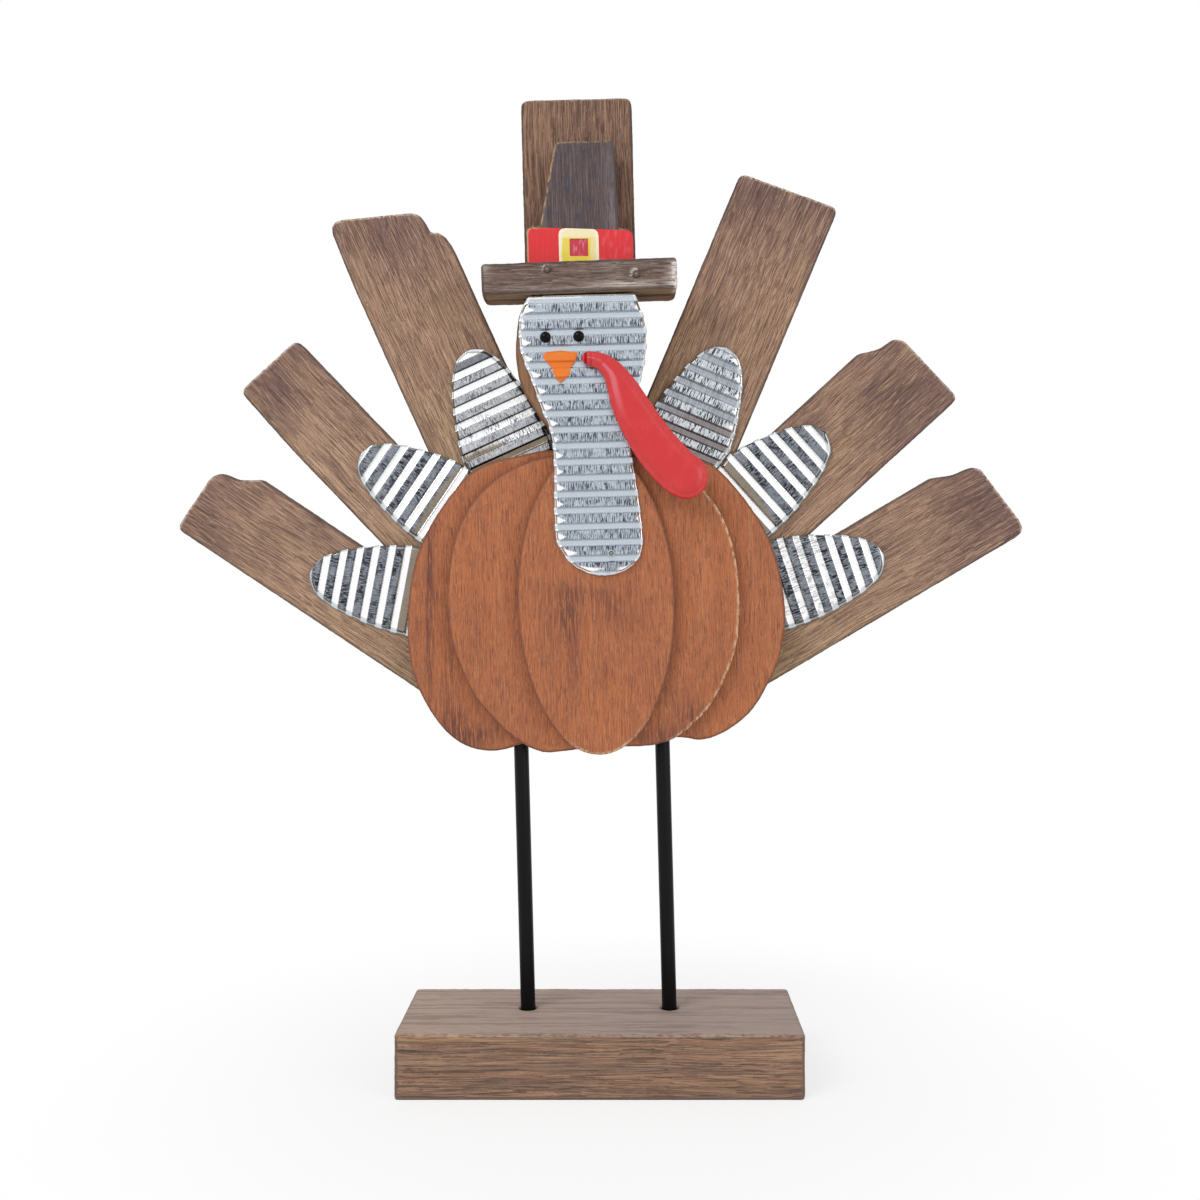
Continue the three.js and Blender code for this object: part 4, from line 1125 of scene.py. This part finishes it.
RED_ENAMEL = enamel("Red enamel, brushed", "#d6232a", "#c81c26", "#dd3a40", 0.45, across=0.9, along=7)
YELLOW_ENAMEL = enamel("Yellow enamel, brushed", "#e4cf3c", "#e0c832", "#ecdc80", 0.45, across=1,
                       along=5)
ORANGE_ENAMEL = enamel("Orange enamel, brushed", "#e0741a", "#d96b12", "#e67e26", 0.4)
SNOOD_ENAMEL = enamel("Red enamel, dipped", "#c8282b", "#c22326", "#d03639", 0.3, across=4, along=4,
                      relief=0.1)
BLACK_ENAMEL = enamel("Black enamel drop", "#040405", "#030304", "#060607", 0.12, across=2, along=2,
                      relief=0, gloss=0.12)
ROD_PAINT = enamel("Satin black paint on steel", "#060607", "#040405", "#0c0c0e", 0.4, across=1.2,
                   along=30, gloss=0.15)

# %% [markdown]
# ### The hat band, the buckle and the beak
# These are coats of paint about 0.3 mm thick. Each is a fine grid like the sheets, so that its
# vertices can say where the paint is worn through, where the cream line of the buckle runs, and
# where the crimson square inside the buckle lies. The beak rides over the ribs of the head.

# %% Lay a coat of paint
COAT = 0.3
COAT_GAUGE = 0.15
COAT_SWELL = 0.12
SWELL_REACH = 0.5
COAT_TRIM = 0.02


class Flat(Ribs):
    """A flat ground: rows run level, with no ribs."""

    def __init__(self, node):
        self.run, self.rise = np.array([1.0, 0.0]), np.array([0.0, 1.0])
        self.phase = 0
        self.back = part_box(node)[1].y / MM


def store_paint(piece, **masks):
    """Stores each mask of the paint. A mask that isn't given is 0 all over."""
    for name in PAINT_MASKS:
        store(piece, name, masks.get(name, np.zeros(len(piece.data.vertices))))


def cut_hole(piece, sides, levels):
    """Deletes the faces of a coat between two sides and two levels, in millimetres."""

    def within(face):
        middle = face.center / MM
        return sides[0] < middle.x < sides[1] and levels[0] < middle.z < levels[1]

    edit_faces(piece, within)
    bpy.ops.mesh.delete(type="FACE")
    close_edit()


def coat_piece(node, material, columns, masks, hole=None):
    """A thin coat in the outline of its node, with masks worked out for its vertices."""
    ground = Flat(node)
    piece, flat, unit = lay_grid(f"{node}_coat", node, ground, columns, trim=COAT_TRIM)
    rim = rim_distance(flat, unit)
    swell = soft_step(rim, 0, SWELL_REACH) * COAT_SWELL
    stand_up(piece, ground, flat, ground.back - COAT + COAT_SWELL - swell)
    store_paint(piece, **masks(flat, rim))
    if hole:
        cut_hole(piece, *hole)
    thicken(piece, COAT_GAUGE)
    settle(piece, node, material)


# %% Measure the buckle
OPENING = 7.8
OPENING_SILL = 4
CREAM_LINE = 1.3

buckle_low, buckle_high = [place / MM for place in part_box("hat_buckle")]
BUCKLE_MIDDLE = (buckle_low.x + buckle_high.x) / 2
opening_low = buckle_low.z + OPENING_SILL
opening_sides = (BUCKLE_MIDDLE - OPENING / 2, BUCKLE_MIDDLE + OPENING / 2)
opening_levels = (opening_low, opening_low + OPENING)
print("sides of the opening:", [round(side, 1) for side in opening_sides])


def from_opening(flat):
    """The distance outwards from the buckle's opening, below zero inside it."""
    centre = np.array([BUCKLE_MIDDLE, sum(opening_levels) / 2])
    return np.max(np.abs(flat - centre), axis=1) - OPENING / 2


def wobble(flat, size, seed):
    """A smooth noise whose waves have a size in millimetres."""
    return np.array([noise.noise((x / size, z / size, seed)) for x, z in flat])


# %% Paint the band and the buckle
BAND_COLUMNS = 120
BUCKLE_COLUMNS = 52
WORN_REACH = 16
WORN_FADE = 6
KEPT_FOOT = 2


def band_masks(flat, rim):
    """Bare wood at the left end, and a scratched crimson square inside the buckle."""
    left = soft_step(flat[:, 0].min() + WORN_REACH - flat[:, 0], 0, WORN_FADE)
    worn = soft_step(-rim, -0.75, -0.35) * left * (flat[:, 1] > flat[:, 1].min() + KEPT_FOOT)
    scratches = soft_step(wobble(flat * [1, 0.25], 0.8, 3), 0.1, 0.45)
    smears = soft_step(wobble(flat * [1, 0.4], 1.8, 8), 0.05, 0.5) * (flat[:, 0] > opening_sides[1])
    square = soft_step(-from_opening(flat), -0.2, 0.1)
    return {"bare": worn, "crimson": square, "pink": 0.6 * square * scratches + 0.18 * smears}


def buckle_masks(flat, rim):
    """Cream along the rim but not along the foot, and above and to the right of the opening."""
    line = soft_step(-rim + 0.5 * wobble(flat, 3, 5), -CREAM_LINE - 0.15, -CREAM_LINE + 0.25)
    above = soft_step(flat[:, 1], opening_levels[1] - 0.5, opening_levels[1] + 1)
    right = soft_step(flat[:, 0], opening_sides[1] + 0.6, opening_sides[1] + 1.6)
    foot = soft_step(flat[:, 1], flat[:, 1].min() + 0.6, flat[:, 1].min() + 1.8)
    return {"cream": np.maximum(line * foot, np.maximum(above * 0.75, right * 0.5))}


coat_piece("hat_band", RED_ENAMEL, BAND_COLUMNS, band_masks)
coat_piece("hat_buckle", YELLOW_ENAMEL, BUCKLE_COLUMNS, buckle_masks,
           hole=(opening_sides, opening_levels))

# %% Paint the beak over the ribs
# The paint pooled in the valleys, and fills nearly half of their depth.
BEAK_PROUD = 0.12
BEAK_POOL = 0.45
BEAK_PRESS = 0.97
BEAK_EDGE = 0.6
BEAK_COLUMNS = 40
BEAK_TRIM = 0.05


def beak():
    """A coat that follows the ribs of the head sheet a little above them."""
    piece, flat, unit = lay_grid("beak_coat", "beak", head_ribs, BEAK_COLUMNS, trim=BEAK_TRIM)
    rim = rim_distance(flat, unit)
    lift = rib_lift(head_ribs.offset(flat[:, 1]), HEAD_RIB_SHARE)
    paint = BEAK_PROUD + (COAT - BEAK_PROUD) * soft_step(rim, 0, BEAK_EDGE)
    filled = np.maximum(lift, BEAK_POOL) * BEAK_PRESS
    depth = head_ribs.back - GAUGE - (SHEET_DEPTH - GAUGE) * filled - paint
    stand_up(piece, head_ribs, flat, depth)
    store_paint(piece)
    thicken(piece, COAT_GAUGE)
    settle(piece, "beak", ORANGE_ENAMEL)


beak()

# %% [markdown]
# ### The snood
# The snood is cut from board and dipped in thick enamel, which rounds it like a pillow. It starts
# as a copy of its flat node. Its depth is squeezed towards its edge, a small drop of paint is
# joined to its root, and a fine remesh and a smooth make one skin of it.

# %% Pillow the snood, join a drop and press the folds
SNOOD_FACE = 0.6
SNOOD_ROUND = 4.5
PILLOW_EDGE = 0.25
DROP_RADIUS = 1.5
SKIN_FACE = 0.35
SKIN_ROUNDS = 6
FOLDS = ((1.9, 1.9), (4.1, 0.8))
FOLD_WIDTH = 0.45
FOLD_EDGE = 0.6


def pillow(piece, edges, middle):
    """Squeezes the depth of a flat board towards its edges."""
    points = corners(piece).copy()
    inside, _ = measure_edges(points, edges, SEEN_FROM_FRONT)
    share = np.clip(inside / SNOOD_ROUND, 0, 1)
    height = PILLOW_EDGE + (1 - PILLOW_EDGE) * np.sqrt(1 - (1 - share) ** 2)
    points[:, 1] = middle + (points[:, 1] - middle) * height
    move_corners(piece, points)


def join_drop(piece, place):
    """Joins a drop of paint to a piece, and lays one skin over both."""
    bpy.ops.object.select_all(action="DESELECT")
    bpy.ops.mesh.primitive_uv_sphere_add(segments=24, ring_count=16, radius=DROP_RADIUS * MM,
                                         location=place)
    drop = bpy.context.object
    bpy.ops.object.transform_apply(location=True)
    drop.select_set(True)
    piece.select_set(True)
    bpy.context.view_layer.objects.active = piece
    bpy.ops.object.join()
    modify(piece, "REMESH", mode="VOXEL", voxel_size=SKIN_FACE * MM)
    modify(piece, "SMOOTH", factor=SMOOTHING, iterations=SKIN_ROUNDS)


def fit_and_fold(piece, low, high, middle):
    """Fits the skin to its node's outline again, and presses the folds into its front."""
    points = corners(piece).copy()
    for axis in (0, 2):
        rows = points[:, axis]
        points[:, axis] = np.interp(rows, (rows.min(), rows.max()), (low[axis], high[axis]))
    for place, depth in FOLDS:
        fold = np.exp(-((points[:, 0] / MM - low.x / MM - place) / FOLD_WIDTH) ** 2)
        points[:, 1] += fold * depth * MM * soft_step((middle - points[:, 1]) / MM, 0, FOLD_EDGE)
    move_corners(piece, points)
    return points


# %% Dip the snood
# How strong the pink of the snood's painted highlight is.
HIGHLIGHT_PINK = 0.45

# Where the drop lies: in from the snood's left, back from its middle and down from its top.
DROP_IN = 0.9
DROP_BACK = 0.6
DROP_DOWN = 2.7

# Ramps in millimetres: in from the edge, further in where the painted highlight ends, and up the snood.
HIGHLIGHT_FROM = (0.6, 1.6)
HIGHLIGHT_TO = (-4.2, -2.4)
HIGHLIGHT_BELOW_TOP = (-32, -12)


def painted_highlight(points, edges, top):
    """A painted highlight in pink: along the upper inner flank, a little in from the edge, where the
    rounded side catches the light.
    """
    inside, out = measure_edges(points, edges, SEEN_FROM_FRONT)
    flank = soft_step(inside, *HIGHLIGHT_FROM) * soft_step(-inside, *HIGHLIGHT_TO)
    upper = soft_step(points[:, 2] / MM - top, *HIGHLIGHT_BELOW_TOP)
    inner = soft_step(-out[:, 0] + 0.4 * out[:, 2], -0.1, 0.5)
    return flank * upper * inner


def snood():
    piece = merged_copy("snood", "snood_dipped")
    edges = sharp_edges(piece)
    low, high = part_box("snood")
    middle = (low.y + high.y) / 2
    modify(piece, "REMESH", mode="VOXEL", voxel_size=SNOOD_FACE * MM)
    pillow(piece, edges, middle)
    join_drop(piece, (low.x + DROP_IN * MM, middle + DROP_BACK * MM, high.z - DROP_DOWN * MM))
    points = fit_and_fold(piece, low, high, middle)
    # The pink on the snood is a painted highlight.
    store_paint(piece, pink=HIGHLIGHT_PINK * painted_highlight(points, edges, high.z / MM))
    select_only(piece)
    bpy.ops.object.shade_smooth()
    settle(piece, "snood", SNOOD_ENAMEL)


snood()

# %% [markdown]
# ### Eyes
# Each eye is a half bead of black enamel. A round bead is added at its size and cut in half with
# bisect, the cut is filled, and the flat side gets a small foot by an inset and an extrude. It is
# modelled once and copied.

# %% Make the eyes
BEAD_INSET_SHARE = 0.25
BEAD_FOOT_SHARE = 0.05
CREASE = math.radians(40)


def half_bead(name, node):
    """A half bead with its flat side to the back."""
    low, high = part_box(node)
    radius = (high.x - low.x) / 2
    bpy.ops.object.select_all(action="DESELECT")
    bpy.ops.mesh.primitive_uv_sphere_add(segments=48, ring_count=24, radius=radius,
                                         rotation=(math.pi / 2, 0, 0))
    bead = bpy.context.object
    bead.name = name
    bpy.ops.object.transform_apply(rotation=True)
    edit(bead, "SELECT")
    bpy.ops.mesh.bisect(plane_co=(0, 0, 0), plane_no=(0, 1, 0), use_fill=True, clear_outer=True)
    bpy.ops.mesh.inset(thickness=BEAD_INSET_SHARE * radius, depth=0)
    foot = BEAD_FOOT_SHARE * radius
    bpy.ops.mesh.extrude_region_move(TRANSFORM_OT_translate={"value": (0, foot, 0)})
    bpy.ops.mesh.select_all(action="SELECT")
    bulge = (high.y - low.y) / (radius + foot)
    bpy.ops.transform.resize(value=(1, bulge, 1))
    bpy.ops.mesh.normals_make_consistent(inside=False)
    close_edit()
    bpy.ops.object.shade_smooth_by_angle(angle=CREASE)
    return bead


def place_copy(model, name, node, material, anchor):
    """Copies a model with its own mesh to the place of a node."""
    copy = bpy.data.objects.new(name, model.data.copy())
    bpy.context.scene.collection.objects.link(copy)
    copy.data.transform(Matrix.Translation(anchor))
    settle(copy, node, material)
    return copy


bead = half_bead("eye_model", "eye_left")
for side in ("left", "right"):
    low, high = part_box(f"eye_{side}")
    middle = (low + high) / 2
    top = Vector((middle.x, high.y - BEAD_FOOT_SHARE * (high.x - low.x) / 2, middle.z))
    place_copy(bead, f"eye_{side}_bead", f"eye_{side}", BLACK_ENAMEL, top)
bpy.data.objects.remove(bead)

# %% [markdown]
# ### Rods
# Each leg is a quarter inch rod that leans with the figure. A cylinder is added at its size, its
# ends get a small bevel, and the paint follows with a very slight wave, as brushed paint has.

# %% Make the rods
ROD_RADIUS = 3.175
ROD_BEVEL = 0.4


def rod(side):
    node = f"leg_rod_{side}"
    low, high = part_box(node)
    tilted_end = 2 * ROD_RADIUS * MM * abs(math.sin(UPRIGHT))
    length = (high.z - low.z - tilted_end) / math.cos(UPRIGHT)
    bpy.ops.object.select_all(action="DESELECT")
    bpy.ops.mesh.primitive_cylinder_add(vertices=48, radius=ROD_RADIUS * MM, depth=length,
                                        location=(low + high) / 2, rotation=(0, UPRIGHT, 0))
    piece = bpy.context.object
    piece.name = f"{node}_painted"
    bpy.ops.object.transform_apply(location=True, rotation=True)
    modify(piece, "BEVEL", width=ROD_BEVEL * MM, segments=3, limit_method="ANGLE", angle_limit=CREASE)
    select_only(piece)
    bpy.ops.object.shade_smooth_by_angle(angle=CREASE)
    settle(piece, node, ROD_PAINT)


for side in ("left", "right"):
    rod(side)

# %% [markdown]
# ### Nails
# All the fasteners are wire nails: a flat head with a soft rim, a round shank and a cut point. One
# is modelled for each length, from a disc by extrudes, and copied to its places. In front the
# heads face the viewer, and the brads behind are driven in from the back.

# %% Finish the nails
NAIL_ROUGHNESS = 0.45

# Ramps over the distance from a head's middle, as shares of its radius.
GAP_SHADE_RING = {1: 0.36, 2: 0.5}
COVER_RING = {1: 0.62, 2: 0.78}


def nail_steel(name, around, gap_shade_colour="#262322", head="#8e8b89"):
    """Steel wire whose head is ringed by painted shade, where a gap would lie dark round it, and covered
    round that by what lies about it.
    """
    material, tree, shader = surface(name, Metallic=1, Roughness=NAIL_ROUGHNESS)
    ring = add(tree, "ShaderNodeAttribute", attribute_name="ring").outputs["Fac"]
    # A ring of painted shade on the head, where the gap round it would lie dark.
    gap = add(tree, "ShaderNodeMapRange", {0: ring, **GAP_SHADE_RING}, **SMOOTH)
    cover = add(tree, "ShaderNodeMapRange", {0: ring, **COVER_RING}, **SMOOTH)
    colour = coat(tree, linear(head), gap, 0.9, gap_shade_colour)
    colour = coat(tree, colour, cover, 0.95, around)
    tree.links.new(colour.outputs[RESULT], shader.inputs["Base Color"])
    return material


NAIL_STEELS = {
    "brim": nail_steel("Steel wire under grey stain", "#64544e", "#50443f", head="#7d7069"),
    "neck": nail_steel("Steel wire in zinc", "#b5bdc6", "#3a3f45"),
    "brad": nail_steel("Steel wire", "#8b8d90"),
}

# %% Model a nail
HEAD_HEIGHT = 0.6
SHANK_SHARE = 0.53
POINT = 2
POINT_SHARE = 0.12
NAIL_BEVEL = 0.14
NAIL_CREASE = math.radians(50)
RING_SHARES = (0.2, 0.4)


def nail_body(length, radius):
    """A nail along Y with its head in front and the head's face at zero."""
    bpy.ops.object.select_all(action="DESELECT")
    bpy.ops.mesh.primitive_circle_add(vertices=20, radius=radius, fill_type="NGON",
                                      rotation=(math.pi / 2, 0, 0))
    nail = bpy.context.object
    nail.name = "nail_model"
    bpy.ops.object.transform_apply(rotation=True)
    edit(nail, "SELECT")
    shank = length / MM - HEAD_HEIGHT - POINT
    for step, size in ((HEAD_HEIGHT, 1), (0, SHANK_SHARE), (shank, 1), (POINT, POINT_SHARE)):
        bpy.ops.mesh.extrude_region_move(TRANSFORM_OT_translate={"value": (0, step * MM, 0)})
        bpy.ops.transform.resize(value=(size, 1, size))
    bpy.ops.mesh.select_all(action="SELECT")
    bpy.ops.mesh.normals_make_consistent(inside=False)
    close_edit()
    modify(nail, "BEVEL", width=NAIL_BEVEL * MM, segments=2, limit_method="ANGLE",
           angle_limit=NAIL_CREASE)
    return nail


def wire_nail(length, radius):
    """A nail whose head has two more rings, so that its finish can paint the shade of the gap round it.
    """
    nail = nail_body(length, radius)
    edit_faces(nail, lambda face: len(face.vertices) > 4 and abs(face.center.y) < TOUCHING)
    for share in RING_SHARES:
        bpy.ops.mesh.inset(thickness=share * radius)
    close_edit()
    points = corners(nail)
    store(nail, "ring", np.hypot(points[:, 0], points[:, 2]) / radius)
    select_only(nail)
    bpy.ops.object.shade_smooth_by_angle(angle=CREASE)
    return nail


# %% Drive the nails
nails = [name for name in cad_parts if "nail" in name or "brad" in name]
models = {}
for name in sorted(nails):
    low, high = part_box(name)
    length, middle = high.y - low.y, (low + high) / 2
    key = round(length / MM, 1)
    if key not in models:
        models[key] = wire_nail(length, (high.z - low.z) / 2)
    steel = next(steel for part, steel in NAIL_STEELS.items() if part in name)
    copy = place_copy(models[key], f"{name}_wire", name, steel, (0, 0, 0))
    if "brad" in name:
        copy.data.transform(Matrix.Rotation(math.pi, 4, "Z"))
    face = high.y if "brad" in name else low.y
    copy.data.transform(Matrix.Translation((middle.x, face, middle.z)))
for model in models.values():
    bpy.data.objects.remove(model)

# %% [markdown]
# ## Floor, light and background
# The figure stands on a white sweep under soft light. Where the camera, a mirror or glass looks
# past the figure, it sees plain white, and the light that falls on the figure is weaker than that.

# %% Lay the floor
FLOOR_SIZE = 60

# Up to the first reach, in metres, the floor keeps the shadow, and past the second it is white.
FLOOR_FADE = {1: 0.09, 2: 0.26, 3: 0.7, 4: 1.0}


def seen_by(tree, *rays):
    """1 for the kinds of ray that are named, and 0 for all others."""
    path = add(tree, "ShaderNodeLightPath")
    seen = path.outputs[rays[0]]
    for ray in rays[1:]:
        seen = add(tree, "ShaderNodeMath", {0: seen, 1: path.outputs[ray]}, operation="MAXIMUM")
    return seen


bpy.ops.object.select_all(action="DESELECT")
bpy.ops.mesh.primitive_plane_add(size=FLOOR_SIZE)
floor = bpy.context.object
floor.name = "floor"

paper, tree, shader = surface("White paper sweep", Roughness=0.9)
shader.inputs["Base Color"].default_value = linear("#f6f6f6")
place = add(tree, "ShaderNodeTexCoord").outputs["Object"]
reach = add(tree, "ShaderNodeVectorMath", {0: place}, operation="LENGTH")
far = add(tree, "ShaderNodeMapRange", {0: reach, **FLOOR_FADE}, **SMOOTH)
seen = seen_by(tree, "Is Camera Ray", "Is Glossy Ray")
share = add(tree, "ShaderNodeMath", {0: far, 1: seen}, operation="MULTIPLY")
white = add(tree, "ShaderNodeEmission", {"Color": (1, 1, 1, 1), "Strength": 1.0})
mixed = add(tree, "ShaderNodeMixShader", {0: share, 1: shader, 2: white})
tree.links.new(mixed.outputs[0], tree.nodes["Material Output"].inputs["Surface"])
floor.data.materials.append(paper)

# %% Light the world
WORLD_LIGHT = 0.62

world = bpy.data.worlds.new("studio")
bpy.context.scene.world = world
world.use_nodes = True
tree = world.node_tree
seen = seen_by(tree, "Is Camera Ray", "Is Glossy Ray", "Is Transmission Ray")
strength = add(tree, "ShaderNodeMapRange", {0: seen, 3: WORLD_LIGHT, 4: 1.0})
background = tree.nodes["Background"]
background.inputs["Color"].default_value = (1, 1, 1, 1)
tree.links.new(strength.outputs[0], background.inputs["Strength"])
print("world:", world.name)

# %% Hang the lamps
AIM = Vector((0, 0, 0.21))


def soft_lamp(name, place, size, power):
    """A square soft box that faces the figure."""
    light = bpy.data.lights.new(name, "AREA")
    light.size = size
    light.energy = power
    lamp = bpy.data.objects.new(name, light)
    lamp.location = place
    lamp.rotation_euler = (AIM - Vector(place)).to_track_quat("-Z", "Y").to_euler()
    bpy.context.scene.collection.objects.link(lamp)
    print("lamp:", name, power, "W")


soft_lamp("key", (-0.9, -1.1, 1.3), 0.9, 13)
soft_lamp("fill", (1.2, -1.0, 0.6), 1.0, 5)

# %% [markdown]
# ## Last lines
# The colours are shown as they are, with no film look.

# %% Show colours plainly and finish
bpy.context.scene.view_settings.view_transform = "Standard"
